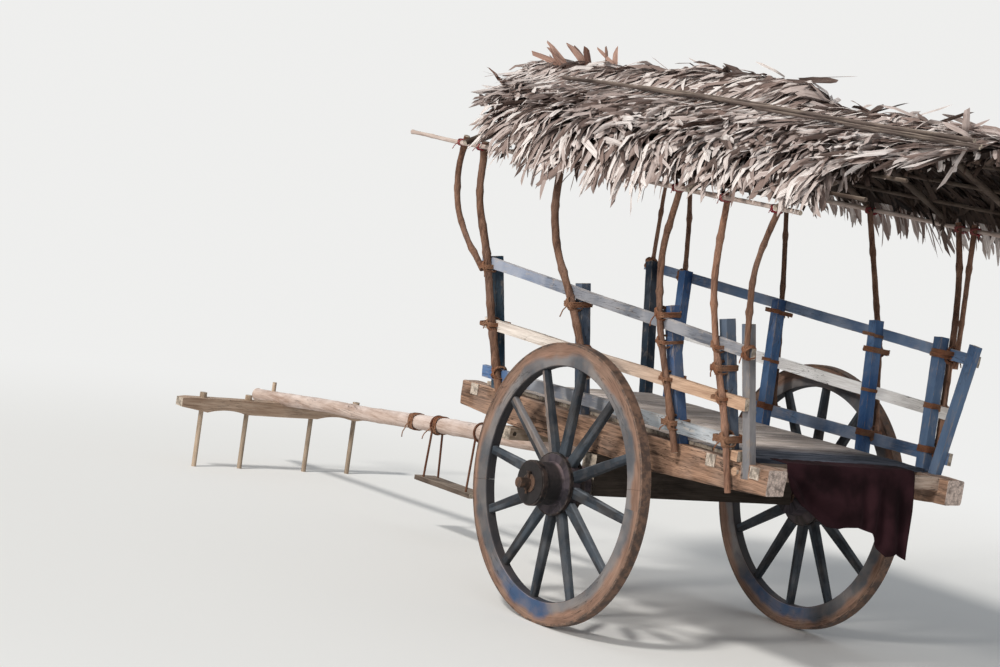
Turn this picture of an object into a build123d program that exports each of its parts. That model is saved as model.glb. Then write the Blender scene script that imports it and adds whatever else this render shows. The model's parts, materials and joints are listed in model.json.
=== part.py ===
from build123d import *
from math import atan2, cos, degrees, hypot, radians, sin, tan
import os

# A two-wheeled timber cart for a pair of draught animals, with slatted side racks
# and a palm leaf roof on bent sticks. Sizes are millimetres.
# X runs forward along the draught pole, Y to the cart's left, Z up.
# Pieces are placed from the middle of the axle, and moved to the floor at the end.

# Wheels
wheel_diameter = 1500
wheel_track = 1764
rim_width = 64
tyre_thickness, tyre_edge = 12, 3
felloe_depth, felloe_edge, felloe_inset = 114, 6, 1
felloe_count = 6
felloe_joint = 1.2
spoke_count = 12
spoke_root_wide, spoke_root_thick = 62, 42
spoke_tip_wide, spoke_tip_thick = 46, 34
spoke_corner = 9
root_tenon_wide, root_tenon_thick, root_tenon_long = 42, 28, 78
tip_tenon_radius, tip_tenon_long = 13, 62
wood_fit = 0.3
# How far each wheel has rolled round, in degrees
left_wheel_turn, right_wheel_turn = 8.7, 13.9

# Nave, from the wheel's middle plane: the barrel, and its two necks
nave_radius = 160
nave_barrel_out, nave_barrel_in = 46, 60
nave_shoulder = 12
nave_face_step = 6
neck_radius = 113
neck_end_radius = 104
nave_out, nave_in = 188, 142
band_thickness = 8
barrel_band_wide = 20
neck_band_wide, neck_band_inset = 30, 4

# Axle
arm_radius = 28
arm_running_gap = 0.06
axle_box_wall = 8
axle_bar = 56
arm_stub = 74
collar_radius, collar_wide = 44, 10
end_play = 1.0
washer_radius, washer_thickness = 50, 6
linchpin_radius, linchpin_long, linchpin_head = 6, 116, 8
linchpin_gap, linchpin_clear = 0.3, 2

# Bed
bed_half_width = 668
beam_wide = 116
beam_back, beam_front = 1400, 1330
beam_top = 355
beam_depth = 180
beam_end_depth = 130
beam_belly_back, beam_belly_front = 500, 700
beam_back_taper, beam_back_rise, beam_front_rise = 300, 22, 12
beam_round = 10
bar_wide, bar_deep, bar_proud = 70, 62, 8
bar_drop = 2
deck_thickness = 20
deck_gap = 7
deck_side_gap = 8
axle_bed_wide, axle_bed_below = 120, 45
nave_clearance = 40
bolster_wide, bolster_x, bolster_overhang = 90, 800, 32
bolster_hole_radius, bolster_hole_inset = 14, 34

# Draught pole, yoke and its pegs
pole_radius, pole_tip_radius = 57, 42
pole_back, pole_past_yoke = 330, 320
pole_at_axle = 121
pole_fall = 4.8
yoke_x = 4440
yoke_half_long = 780
yoke_deep, yoke_wide = 96, 92
yoke_end_deep, yoke_end_slope, yoke_end_round = 66, 60, 8
yoke_saddle = 16
neck_bay_middle, neck_bay_wide, neck_bay_rise = 430, 300, 22
peg_radius, peg_head_radius, peg_head_long = 16, 24, 34
peg_spacing = 350
yoke_pin_radius, yoke_pin_above, yoke_pin_below = 14, 60, 50
yoke_pin_ahead = 70

# Side racks: stakes inside, rails on their outer faces, sticks outside the rails
rack_lean = 5.5
stake_wide = 58
stake_tenon = 96
stake_inset = 4
rail_thickness = 26

# Stakes: side, x at the foot, x at the top, height above the beams
STAKES = [
    ("left", 1020, 1125, 742),
    ("left", 210, 285, 700),
    ("left", -650, -495, 690),
    ("left", -1065, -950, 688),
    ("right", 1290, 1508, 783),
    ("right", 1060, 1175, 770),
    ("right", 200, 300, 722),
    ("right", -640, -520, 722),
    ("right", -1118, -1035, 708),
]

# End stakes, thinner and let into the beams' outer sides: side, x at the foot, x at the top, height
END_STAKES = [
    ("left", -1215, -1130, 688),
    ("right", -1200, -1285, 700),
]
end_stake_thick = 40
end_stake_foot = 78
peg_end_radius, peg_end_long, peg_end_proud = 22, 70, 16
peg_end_x, peg_end_drop = -1157, 52
packing_long, packing_wide, packing_high = 66, 84, 50
packing_x, packing_proud = -1140, 22

# Rails: name, side, x at front, height at front, x at back, height at back, depth
RAILS = [
    ("top_rail", "left", 1180, 712, -1225, 553, 58),
    ("middle_rail", "left", 1120, 366, -1205, 294, 62),
    ("lower_rail", "left", 1110, 92, -1120, 92, 66),
    ("top_rail", "right", 1615, 758, -1290, 622, 58),
    ("middle_rail", "right", 1205, 404, -1215, 318, 62),
    ("lower_rail", "right", 1150, 100, -1255, 92, 66),
]

# Bent sticks that carry the roof: side, radius, then x and z of each point from foot to head
STICKS = [
    ("left", 17, [(1150, 1010), (1330, 1160), (1450, 1330), (1470, 1560), (1400, 1735)]),
    ("left", 21, [(900, 350), (1030, 760), (1110, 1120), (1240, 1400), (1215, 1720)]),
    ("left", 21, [(90, 560), (240, 900), (440, 1200), (500, 1420), (470, 1690)]),
    ("left", 17, [(-705, 310), (-560, 760), (-503, 915), (-470, 1130), (-480, 1350), (-590, 1670)]),
    ("left", 17, [(-1145, 190), (-1085, 540), (-955, 920), (-910, 1180), (-928, 1400), (-970, 1665)]),
    ("left", 15, [(-1203, 870), (-1197, 1120), (-1212, 1310), (-1290, 1490), (-1375, 1645)]),
    ("right", 12, [(1545, 815), (1593, 1115), (1615, 1300), (1640, 1550), (1650, 1735)]),
    ("right", 14, [(1115, 425), (1180, 757), (1240, 960), (1290, 1200), (1335, 1400), (1440, 1720)]),
    ("right", 15, [(215, 425), (290, 800), (355, 1050), (395, 1220), (445, 1400), (530, 1695)]),
    ("right", 16, [(-655, 420), (-558, 760), (-520, 909), (-430, 1120), (-310, 1390), (-180, 1680)]),
    ("right", 17, [(-1125, 425), (-1082, 807), (-1044, 1100), (-985, 1400), (-890, 1665)]),
    ("right", 14, [(-1115, 905), (-1092, 1060), (-1070, 1200), (-1035, 1450), (-1010, 1665)]),
]
stick_gap = 0.3
stick_bend_z, stick_eave_gap = 1250, 0.6

# Roof, built level about the eave poles and tipped back as one
eave_y = 862
eave_z = 1664
eave_radius = 12
eave_front, eave_back = 1930, 1560
roof_fall = 1.4
roof_slope = 25.5
rafter_radius = 16
rafter_past_eave, rafter_past_ridge = 60, 100
lath_radius = 10
lath_inset_front, lath_inset_back = 10, 40
ridge_radius, ridge_inset = 22, 90
thatch_thickness = 86
thatch_eave_y = 985
thatch_droop = 100
thatch_tip = 46
thatch_lip_out, thatch_lip_up = 8, 6
thatch_crown, thatch_crown_y = 14, 680
thatch_eave_front, thatch_eave_back = 1310, 1900
thatch_ridge_front, thatch_ridge_back = 1860, 2080
batten_radius = 11
batten_y = 290
batten_front, batten_back = 1250, 2050
RAFTERS_X = [1280, 610, -110, -760, -1440]
LATHS_Y = [250, 500, 740]

# Footboard slung under the pole, and the cloth over the tail
footboard_x, footboard_long, footboard_wide, footboard_thick = 2260, 620, 150, 28
footboard_below_pole = 300
sling_radius = 7
sling_spread = 480
sling_inset = 20
cloth_thickness = 5
cloth_left, cloth_right = 500, 365
cloth_drop = 400
cloth_lap = 150
cloth_gap = 0.4

# Cross bars: x of each
BARS_X = [1195, 450, -300, -955, -1300]

# Deck boards: width of each from the front, laid one after another with deck_gap between
BOARDS = [172, 148, 186, 160, 178, 142, 168, 190, 150, 164, 176, 146, 158, 132]
deck_front = 1190

wheel_radius = wheel_diameter / 2
wheel_y = wheel_track / 2
axle_bed_half_long = wheel_y - nave_in - nave_clearance
bolster_half_long = bed_half_width + bolster_overhang
pole_tip = yoke_x + pole_past_yoke
tyre_inner = wheel_radius - tyre_thickness
rim_inner = tyre_inner - felloe_depth
box_radius = arm_radius + arm_running_gap + axle_box_wall
pole_slope = tan(radians(pole_fall))
lean = radians(rack_lean)
slope = radians(roof_slope)
stake_y = bed_half_width - stake_inset - stake_wide / 2
beam_inner = bed_half_width - beam_wide


def along(y_start, y_end, radius, x=0, z=0):
    """A round bar parallel to Y."""
    bar = Cylinder(radius, y_end - y_start)
    return Pos(x, (y_start + y_end) / 2, z) * Rot(X=-90) * bar


def block(x_low, x_high, y_low, y_high, z_low, z_high):
    """A square block between two corners."""
    size = (x_high - x_low, y_high - y_low, z_high - z_low)
    return Pos((x_low + x_high) / 2, (y_low + y_high) / 2, (z_low + z_high) / 2) * Box(*size)


def on_side(shape, side):
    """A piece made for the left side, or its mirror image on the right."""
    return shape if side == "left" else mirror(shape, about=Plane.XZ)


def pole_z(x):
    """Height of the draught pole's middle line."""
    return pole_at_axle - x * pole_slope


def round_pole(start, end, radius, end_radius=None):
    """A straight round pole from one point to another, tapered if it has an end radius."""
    start, end = Vector(*start), Vector(*end)
    line = end - start
    if end_radius is None:
        bar = Cylinder(radius, line.length)
    else:
        bar = Cone(radius, end_radius, line.length)
    middle = (start + end) * 0.5
    return Plane(origin=middle, z_dir=line) * bar


def bent_stick(points, radius):
    """A bent stick: straight runs joined by arcs as large as the runs allow."""
    points = [Vector(*p) for p in points]
    radii = []
    for before, here, after in zip(points, points[1:], points[2:]):
        into, out = here - before, after - here
        turn = radians(into.get_angle(out))
        radii.append(0.45 * min(into.length, out.length) / tan(turn / 2))
    path = FilletPolyline(*points, radius=radii)
    section = Plane(origin=path @ 0, z_dir=path % 0) * Circle(radius)
    return sweep(section, path=path)


def wheel_parts():
    """One wheel about Z, with its outer face upward."""
    tyre = Cylinder(wheel_radius, rim_width) - Cylinder(tyre_inner, rim_width)
    tyre = chamfer(tyre.edges().filter_by(GeomType.CIRCLE).sort_by(SortBy.RADIUS)[-2:], tyre_edge)

    wood_width = rim_width - 2 * felloe_inset
    ring = Cylinder(tyre_inner - wood_fit, wood_width) - Cylinder(rim_inner, wood_width)
    ring = chamfer(ring.edges().filter_by(GeomType.CIRCLE).sort_by(SortBy.RADIUS)[:2], felloe_edge)
    cuts = []
    for i in range(felloe_count):
        joint = Pos(wheel_radius / 2, 0, 0) * Box(wheel_radius, felloe_joint, rim_width)
        cuts.append(Rot(Z=360 / felloe_count * i) * joint)

    tip_shoulder = (rim_inner**2 - (spoke_tip_wide / 2) ** 2) ** 0.5 - wood_fit
    root_shoulder = nave_radius + wood_fit
    body = loft([
        Pos(root_shoulder, 0, 0) * Rot(Y=90)
        * RectangleRounded(spoke_root_thick, spoke_root_wide, spoke_corner),
        Pos(tip_shoulder, 0, 0) * Rot(Y=90)
        * RectangleRounded(spoke_tip_thick, spoke_tip_wide, spoke_corner),
    ])
    root_end = root_shoulder - root_tenon_long
    root_tenon = Pos((root_shoulder + root_end) / 2, 0, 0) * Box(
        root_tenon_long, root_tenon_wide, root_tenon_thick)
    tip_tenon = Pos(tip_shoulder + tip_tenon_long / 2, 0, 0) * Rot(Y=90) * Cylinder(
        tip_tenon_radius, tip_tenon_long)
    spoke = body + root_tenon + tip_tenon
    root_socket = Pos((root_shoulder + root_end) / 2 - wood_fit, 0, 0) * Box(
        root_tenon_long + 2 * wood_fit, root_tenon_wide + 2 * wood_fit,
        root_tenon_thick + 2 * wood_fit)
    tip_socket = Pos(tip_shoulder + tip_tenon_long / 2, 0, 0) * Rot(Y=90) * Cylinder(
        tip_tenon_radius + wood_fit, tip_tenon_long + 2 * wood_fit)

    half_step = 180 / spoke_count
    turns = [half_step + 360 / spoke_count * i for i in range(spoke_count)]
    spokes = [Rot(Z=turn) * spoke for turn in turns]
    ring = ring - cuts - [Rot(Z=turn) * tip_socket for turn in turns]

    with BuildPart() as nave_blank:
        with BuildSketch(Plane.XZ):
            with BuildLine():
                Polyline(
                    (box_radius, -nave_in), (neck_end_radius, -nave_in),
                    (neck_radius, -nave_in + neck_band_wide),
                    (neck_radius, -nave_barrel_in - nave_shoulder),
                    (nave_radius - nave_shoulder, -nave_barrel_in),
                    (nave_radius, -nave_barrel_in + nave_shoulder),
                    (nave_radius, nave_barrel_out),
                    (neck_radius + nave_face_step, nave_barrel_out),
                    (neck_radius, nave_barrel_out + nave_shoulder),
                    (neck_radius, nave_out), (box_radius, nave_out), close=True)
            make_face()
        revolve(axis=Axis.Z)
    nave = nave_blank.part - [Rot(Z=turn) * root_socket for turn in turns]

    bands = []
    # Bands: inner radius, and the two heights it lies between
    for inner, low, high in [
        (nave_radius, nave_barrel_out - barrel_band_wide, nave_barrel_out),
        (nave_radius, -nave_barrel_in + nave_shoulder,
         -nave_barrel_in + nave_shoulder + barrel_band_wide),
        (neck_radius, nave_out - neck_band_inset - neck_band_wide, nave_out - neck_band_inset),
    ]:
        band = Cylinder(inner + band_thickness, high - low) - Cylinder(
            inner + wood_fit, high - low)
        bands.append(Pos(0, 0, (low + high) / 2) * band)

    box = Cylinder(box_radius - wood_fit, nave_out + nave_in) - Cylinder(
        arm_radius + arm_running_gap, nave_out + nave_in)
    box = Pos(0, 0, (nave_out - nave_in) / 2) * box
    return {"tyre": [tyre], "felloes": ring.solids(), "spokes": spokes,
            "nave": [nave], "nave_bands": bands, "axle_box": [box]}


def wheels():
    """Both wheels, turned to stand on the axle."""
    nodes = {}
    for side, turn in (("left", left_wheel_turn), ("right", right_wheel_turn)):
        for name, solids in wheel_parts().items():
            stood = [Pos(0, wheel_y, 0) * Rot(X=-90) * Rot(Z=turn) * s for s in solids]
            nodes[f"{name}_{side}"] = [on_side(s, side) for s in stood]
    return nodes


def axle():
    """The iron axle: a square bar, a collar behind each nave and two round arms."""
    collar_y = wheel_y - nave_in - end_play
    arm_end = wheel_y + nave_out + arm_stub
    bar_end = collar_y - collar_wide / 2
    bar = block(-axle_bar / 2, axle_bar / 2, -bar_end, bar_end, -axle_bar / 2, axle_bar / 2)
    bar += along(-arm_end, arm_end, arm_radius)
    pin_y = wheel_y + nave_out + end_play + washer_thickness + linchpin_radius + linchpin_clear
    nodes = {"axle": [], "linchpins": [], "axle_washers": []}
    for side in (1, -1):
        bar += along(*sorted((side * (collar_y - collar_wide), side * collar_y)), collar_radius)
        hole = Pos(0, side * pin_y, 0) * Cylinder(linchpin_radius + linchpin_gap, 3 * arm_radius)
        bar -= hole
        pin = Pos(0, side * pin_y, 0) * Cylinder(linchpin_radius, linchpin_long)
        head = Pos(0, side * pin_y, linchpin_long / 2) * Cylinder(
            2 * linchpin_radius, linchpin_head)
        nodes["linchpins"].append(pin + head)
        face = wheel_y + nave_out + end_play
        ring_y = sorted((side * face, side * (face + washer_thickness)))
        ring = along(*ring_y, washer_radius) - along(*ring_y, arm_radius + linchpin_gap)
        nodes["axle_washers"].append(ring)
    nodes["axle"] = [bar]
    return nodes


def pole_blank(grow=0):
    """The draught pole, or the space it needs."""
    start = (-pole_back, 0, pole_z(-pole_back))
    end = (pole_tip, 0, pole_z(pole_tip))
    return round_pole(start, end, pole_radius + grow, pole_tip_radius + grow)


def pole_radius_at(x):
    """Radius of the tapered pole at a place along it."""
    return pole_radius + (pole_tip_radius - pole_radius) * (x + pole_back) / (pole_tip + pole_back)


def draught_gear():
    """The pole, the yoke lashed under its head, and the pegs that the yoke stands on."""
    pole = pole_blank()
    pin_x = yoke_x + yoke_wide / 2 + yoke_pin_ahead
    pole -= Pos(pin_x, 0, pole_z(pin_x)) * Cylinder(yoke_pin_radius + wood_fit, 4 * pole_radius)
    pin_long = 2 * pole_tip_radius + yoke_pin_above + yoke_pin_below
    pin_z = pole_z(pin_x) + (yoke_pin_above - yoke_pin_below) / 2
    pin = Pos(pin_x, 0, pin_z) * Cylinder(yoke_pin_radius, pin_long)

    top = pole_z(yoke_x) - pole_radius_at(yoke_x) + yoke_saddle
    bottom = top - yoke_deep
    end_low = top - yoke_end_deep
    with BuildPart() as yoke_build:
        with BuildSketch(Plane.YZ.offset(yoke_x - yoke_wide / 2)):
            with BuildLine():
                bay_in = neck_bay_middle - neck_bay_wide / 2
                bay_out = neck_bay_middle + neck_bay_wide / 2
                under = bottom + neck_bay_rise
                end_top = top - yoke_end_round
                Polyline((-yoke_half_long, end_low), (-yoke_half_long, end_top),
                         (-yoke_half_long + yoke_end_slope, top),
                         (yoke_half_long - yoke_end_slope, top),
                         (yoke_half_long, end_top), (yoke_half_long, end_low),
                         (bay_out, bottom))
                ThreePointArc((bay_out, bottom), (neck_bay_middle, under), (bay_in, bottom))
                Line((bay_in, bottom), (-bay_in, bottom))
                ThreePointArc((-bay_in, bottom), (-neck_bay_middle, under), (-bay_out, bottom))
                Line((-bay_out, bottom), (-yoke_half_long, end_low))
            make_face()
        extrude(amount=yoke_wide)
    yoke = yoke_build.part
    yoke -= pole_blank(wood_fit)

    floor = -wheel_radius
    head_low = top + wood_fit
    pegs = []
    for side in (1, -1):
        for step in (-0.5, 0.5):
            y = side * (neck_bay_middle + step * peg_spacing)
            yoke -= Pos(yoke_x, y, (top + bottom) / 2) * Cylinder(
                peg_radius + wood_fit, 2 * yoke_deep)
            shank = Pos(yoke_x, y, (floor + head_low) / 2) * Cylinder(
                peg_radius, head_low - floor)
            head = Pos(yoke_x, y, head_low + peg_head_long / 2) * Cylinder(
                peg_head_radius, peg_head_long)
            pegs.append(shank + head)
    return {"pole": [pole], "yoke": [yoke], "yoke_pegs": pegs, "yoke_pin": [pin]}


def stake(foot_x, top_x, height, tenon, thick=stake_wide, grow=0):
    """A stake in the flat of its rack: x along the bed, z up the lean, outer face at +Y."""
    length = hypot(top_x - foot_x, height)
    turn = degrees(atan2(top_x - foot_x, height))
    bar = Box(stake_wide + 2 * grow, thick + 2 * grow, length + tenon)
    bar = Pos(0, (stake_wide - thick) / 2, (length - tenon) / 2) * bar
    return Pos(foot_x, 0, 0) * Rot(Y=turn) * bar


def rack_frame(shape, side, outward=0):
    """Stands a piece from the flat of a rack up on its beam, leaning outward."""
    placed = Pos(0, stake_y, beam_top) * Rot(X=-rack_lean) * Pos(0, outward, 0) * shape
    return on_side(placed, side)


def racks():
    """Stakes and rails of both sides."""
    nodes = {"stakes_left": [], "stakes_right": []}
    for side, foot_x, top_x, height in STAKES:
        nodes[f"stakes_{side}"].append(rack_frame(stake(foot_x, top_x, height, stake_tenon), side))
    for side, foot_x, top_x, height in END_STAKES:
        post = stake(foot_x, top_x, height, end_stake_foot, end_stake_thick)
        nodes[f"stakes_{side}"].append(rack_frame(post, side))
    for name, side, front_x, front_h, back_x, back_h, depth in RAILS:
        length = hypot(front_x - back_x, front_h - back_h)
        turn = degrees(atan2(front_h - back_h, front_x - back_x))
        bar = Rot(Y=-turn) * Box(length, rail_thickness, depth)
        middle = Pos((front_x + back_x) / 2, 0, (front_h + back_h) / 2)
        out = (stake_wide + rail_thickness) / 2
        nodes[f"{name}_{side}"] = [rack_frame(middle * bar, side, out)]
    return nodes


def stick_y(x, z, radius):
    """Where a stick runs: flat on the rails, then from its bend to the inner side of the eave pole."""
    out = stake_y + (stake_wide / 2 + rail_thickness + radius + stick_gap) / cos(lean)
    flat = out + (min(z, stick_bend_z) - beam_top) * tan(lean)
    if z < stick_bend_z:
        return flat
    reach = eave_y - eave_radius - radius - stick_eave_gap - flat
    pole_height = eave_z + x * tan(radians(roof_fall))
    return flat + reach * (z - stick_bend_z) / (pole_height - stick_bend_z)


def roof_sticks():
    """The bent sticks that stand outside the rails and carry the eave poles."""
    nodes = {"roof_sticks_left": [], "roof_sticks_right": []}
    for side, radius, points in STICKS:
        route = [(x, stick_y(x, z, radius), z) for x, z in points]
        nodes[f"roof_sticks_{side}"].append(on_side(bent_stick(route, radius), side))
    return nodes


def peg_end(grow=0):
    """A round peg driven into the beam's outer side beside the end stake."""
    middle_y = bed_half_width + peg_end_proud - peg_end_long / 2
    peg = Rot(X=-90) * Cylinder(peg_end_radius + grow, peg_end_long + 2 * grow)
    return Pos(peg_end_x, middle_y, beam_top - peg_end_drop) * peg


def bed():
    """Beams, the bars through them, the deck, and the timbers that sit on the axle and pole."""
    bottom = beam_top - beam_depth
    end_bottom = beam_top - beam_end_depth
    with BuildPart() as beam_build:
        with BuildSketch(Plane.XZ.offset(-bed_half_width)):
            with BuildLine():
                Polyline((-beam_back, beam_top), (-beam_back, end_bottom),
                         (-beam_back + beam_back_taper, end_bottom - beam_back_rise),
                         (-beam_belly_back, bottom), (beam_belly_front, bottom),
                         (beam_front, end_bottom - beam_front_rise),
                         (beam_front, beam_top), close=True)
            make_face()
        extrude(amount=beam_wide)
    beam = beam_build.part
    lengthwise = beam.edges().filter_by(Axis.X)
    beam = fillet(lengthwise, beam_round)

    bars = []
    bar_top = beam_top - bar_drop
    bar_end = bed_half_width + bar_proud
    for x in BARS_X:
        low_x, high_x = x - bar_wide / 2, x + bar_wide / 2
        bars.append(block(low_x, high_x, -bar_end, bar_end, bar_top - bar_deep, bar_top))
        beam -= block(low_x - wood_fit, high_x + wood_fit, 0, 2 * bed_half_width,
                      bar_top - bar_deep - wood_fit, bar_top + wood_fit)
    beams = {}
    for side in ("left", "right"):
        piece = on_side(beam, side)
        for row_side, foot_x, top_x, height in STAKES:
            if row_side == side:
                mortise = stake(foot_x, top_x, height, stake_tenon, grow=wood_fit)
                piece -= rack_frame(mortise, side)
        for row_side, foot_x, top_x, height in END_STAKES:
            if row_side == side:
                housing = stake(foot_x, top_x, height, end_stake_foot, end_stake_thick, wood_fit)
                piece -= rack_frame(housing, side)
                piece -= rack_frame(housing, side, end_stake_thick / 2)
        if side == "left":
            piece -= peg_end(wood_fit)
        beams[f"beam_{side}"] = [piece]

    boards = []
    front = deck_front
    half = stake_y - stake_wide / 2 - deck_side_gap
    for wide in BOARDS:
        boards.append(block(front - wide, front, -half, half, beam_top, beam_top + deck_thickness))
        front -= wide + deck_gap

    axle_bed = block(-axle_bed_wide / 2, axle_bed_wide / 2, -axle_bed_half_long,
                     axle_bed_half_long, -axle_bed_below, bottom)
    axle_bed -= block(-axle_bar / 2 - wood_fit, axle_bar / 2 + wood_fit, -2 * axle_bed_half_long,
                      2 * axle_bed_half_long, -2 * axle_bar, axle_bar / 2 + wood_fit)
    axle_bed -= pole_blank(wood_fit)
    notch = pole_radius_at(0) + wood_fit
    axle_bed -= block(-axle_bed_wide, axle_bed_wide, -notch, notch, pole_z(0), 2 * bottom)

    packing_out = bed_half_width + packing_proud
    packing = block(packing_x - packing_long / 2, packing_x + packing_long / 2,
                    packing_out - packing_wide, packing_out, beam_top, beam_top + packing_high)

    bolster_low = pole_z(bolster_x) + pole_radius_at(bolster_x)
    bolster = block(bolster_x - bolster_wide / 2, bolster_x + bolster_wide / 2,
                    -bolster_half_long, bolster_half_long, bolster_low, bottom)
    bolster -= pole_blank(wood_fit)
    for side in (1, -1):
        hole = Rot(Y=90) * Cylinder(bolster_hole_radius, 2 * bolster_wide)
        y = side * (bolster_half_long - bolster_hole_inset)
        bolster -= Pos(bolster_x, y, (bolster_low + bottom) / 2) * hole
    return {**beams, "cross_bars": bars, "deck_boards": boards, "axle_bed": [axle_bed],
            "bolster": [bolster], "beam_peg": [peg_end()], "packing_block": [packing]}


def in_roof(shape):
    """Tips a roof piece back about the eave poles."""
    return Pos(0, 0, eave_z) * Rot(Y=-roof_fall) * shape


def roof_line(y, above):
    """Height over the eave poles' middle of a plane that lies above the rafters' middle."""
    start = (eave_radius + rafter_radius + stick_gap) / cos(slope)
    return start + (eave_y - y) * tan(slope) + above / cos(slope)


def thatch_top(y):
    """Height over the eave poles' middle of the thatch's upper face, from ridge to crown."""
    over = rafter_radius + 2 * lath_radius + stick_gap + thatch_thickness
    return roof_line(y, over) + thatch_crown * y / thatch_crown_y


def thatch_side():
    """The left half of the leaf roof: an even layer with a drooping eave and longer ridge."""
    under = rafter_radius + 2 * lath_radius + stick_gap
    over = under + thatch_thickness
    knee = thatch_eave_y - thatch_tip
    tip_z = roof_line(knee, under) - thatch_droop
    lip_z = roof_line(knee, under) + thatch_lip_up
    with BuildPart() as side_build:
        with BuildSketch(Plane.YZ.offset(-thatch_ridge_back)):
            with BuildLine():
                Polyline((stick_gap / 2, thatch_top(0)), (stick_gap / 2, roof_line(0, under)),
                         (knee, roof_line(knee, under)), (knee, tip_z),
                         (thatch_eave_y, tip_z),
                         (thatch_eave_y + thatch_lip_out, lip_z))
                bend_y = (thatch_crown_y + knee) / 2 + thatch_tip / 2
                ThreePointArc((thatch_eave_y + thatch_lip_out, lip_z),
                              (bend_y, roof_line(bend_y, over)),
                              (thatch_crown_y, thatch_top(thatch_crown_y)))
                Line((thatch_crown_y, thatch_top(thatch_crown_y)), (stick_gap / 2, thatch_top(0)))
            make_face()
        extrude(amount=thatch_ridge_front + thatch_ridge_back)
    solid = side_build.part
    far = 2 * thatch_eave_y
    high = roof_line(0, over) * 2
    for ridge_x, eave_x in [(thatch_ridge_front, thatch_eave_front),
                            (-thatch_ridge_back, -thatch_eave_back)]:
        grow = (eave_x - ridge_x) / thatch_eave_y
        with BuildPart() as trim:
            with BuildSketch(Plane.XY.offset(-high)):
                with BuildLine():
                    Polyline((ridge_x, 0), (ridge_x + grow * far, far),
                             (ridge_x * 2, far), (ridge_x * 2, 0), close=True)
                make_face()
            extrude(amount=2 * high)
        solid -= trim.part
    return solid


def roof():
    """Eave poles, ridge pole, rafters, laths, the thatch and the battens that hold it down."""
    nodes = {}
    left = {
        "eave_pole": [round_pole((-eave_back, eave_y, 0), (eave_front, eave_y, 0), eave_radius)],
        "rafters": [], "laths": [],
        "thatch": [thatch_side()],
    }
    low_y = eave_y + rafter_past_eave
    for x in RAFTERS_X:
        pole = round_pole((x, -rafter_past_ridge, roof_line(-rafter_past_ridge, 0)),
                          (x, low_y, roof_line(low_y, 0)), rafter_radius)
        pole -= block(x - 2 * rafter_radius, x + 2 * rafter_radius,
                      -2 * rafter_past_ridge, stick_gap / 2, 0, 2 * roof_line(0, 0))
        left["rafters"].append(pole)
    for y in LATHS_Y:
        middle = roof_line(y, rafter_radius + lath_radius)
        left["laths"].append(round_pole((-thatch_eave_back + lath_inset_back, y, middle),
                                        (thatch_eave_front - lath_inset_front, y, middle),
                                        lath_radius))
    top_slope = slope - atan2(thatch_crown, thatch_crown_y)
    batten_z = thatch_top(batten_y) + (batten_radius + stick_gap) / cos(top_slope)
    left["thatch_batten"] = [round_pole((-batten_back, batten_y, batten_z),
                                        (batten_front, batten_y, batten_z), batten_radius)]
    for name, solids in left.items():
        for side in ("left", "right"):
            nodes[f"{name}_{side}"] = [on_side(in_roof(s), side) for s in solids]
    ridge_z = roof_line(0, -rafter_radius - ridge_radius)
    nodes["ridge_pole"] = [in_roof(round_pole((-thatch_ridge_back + ridge_inset, 0, ridge_z),
                                              (thatch_ridge_front - ridge_inset, 0, ridge_z),
                                              ridge_radius))]
    return nodes


def small_pieces():
    """The footboard on its slings, and the cloth over the rear bar."""
    level = pole_z(footboard_x) - pole_radius_at(footboard_x) - footboard_below_pole
    board = block(footboard_x - footboard_long / 2, footboard_x + footboard_long / 2,
                  -footboard_wide / 2, footboard_wide / 2, level - footboard_thick, level)
    slings = []
    for end in (-0.5, 0.5):
        x = footboard_x + end * sling_spread
        reach = pole_radius_at(x) + 2 * stick_gap + sling_radius
        loop = Pos(x, 0, pole_z(x)) * Rot(Y=90 + pole_fall) * Torus(reach, sling_radius)
        for side in (1, -1):
            foot = (x, side * (footboard_wide / 2 - sling_inset), level - sling_radius)
            head = (x, side * reach * cos(radians(45)), pole_z(x) - reach * sin(radians(45)))
            loop += round_pole(foot, head, sling_radius)
        loop -= block(x - footboard_wide, x + footboard_wide, -footboard_wide, footboard_wide,
                      level - footboard_thick, level + stick_gap)
        slings.append(loop)
    return {"footboard": [board], "footboard_slings": slings}


def tail_cloth():
    """The cloth laid on the last boards and hung behind the rear bar."""
    bar_back = BARS_X[-1] - bar_wide / 2
    top = beam_top + deck_thickness + cloth_gap
    hang_x = bar_back - cloth_gap
    flap = block(hang_x - cloth_thickness, hang_x + cloth_lap, -cloth_right, cloth_left,
                 top, top + cloth_thickness)
    fall = block(hang_x - cloth_thickness, hang_x, -cloth_right, cloth_left,
                 top - cloth_drop, top + cloth_thickness)
    return {"tail_cloth": [flap + fall]}


nodes = {}
for make in (wheels, axle, draught_gear, bed, racks, roof_sticks, roof, small_pieces, tail_cloth):
    nodes.update(make())

boxes = [solid.bounding_box() for solids in nodes.values() for solid in solids]
middle_x = (min(box.min.X for box in boxes) + max(box.max.X for box in boxes)) / 2
middle_y = (min(box.min.Y for box in boxes) + max(box.max.Y for box in boxes)) / 2
to_floor = Pos(-middle_x, -middle_y, -min(box.min.Z for box in boxes))
os.makedirs("parts", exist_ok=True)
for name, solids in nodes.items():
    moved = [to_floor * solid for solid in solids]
    whole = moved[0] if len(moved) == 1 else Compound(moved)
    export_step(whole, f"parts/{name}.step")
print("axle middle in the part's frame", to_floor.position)
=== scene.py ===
import json
import math
import random

import bmesh
import bpy
import numpy as np
from mathutils import Matrix, Vector, noise

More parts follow.
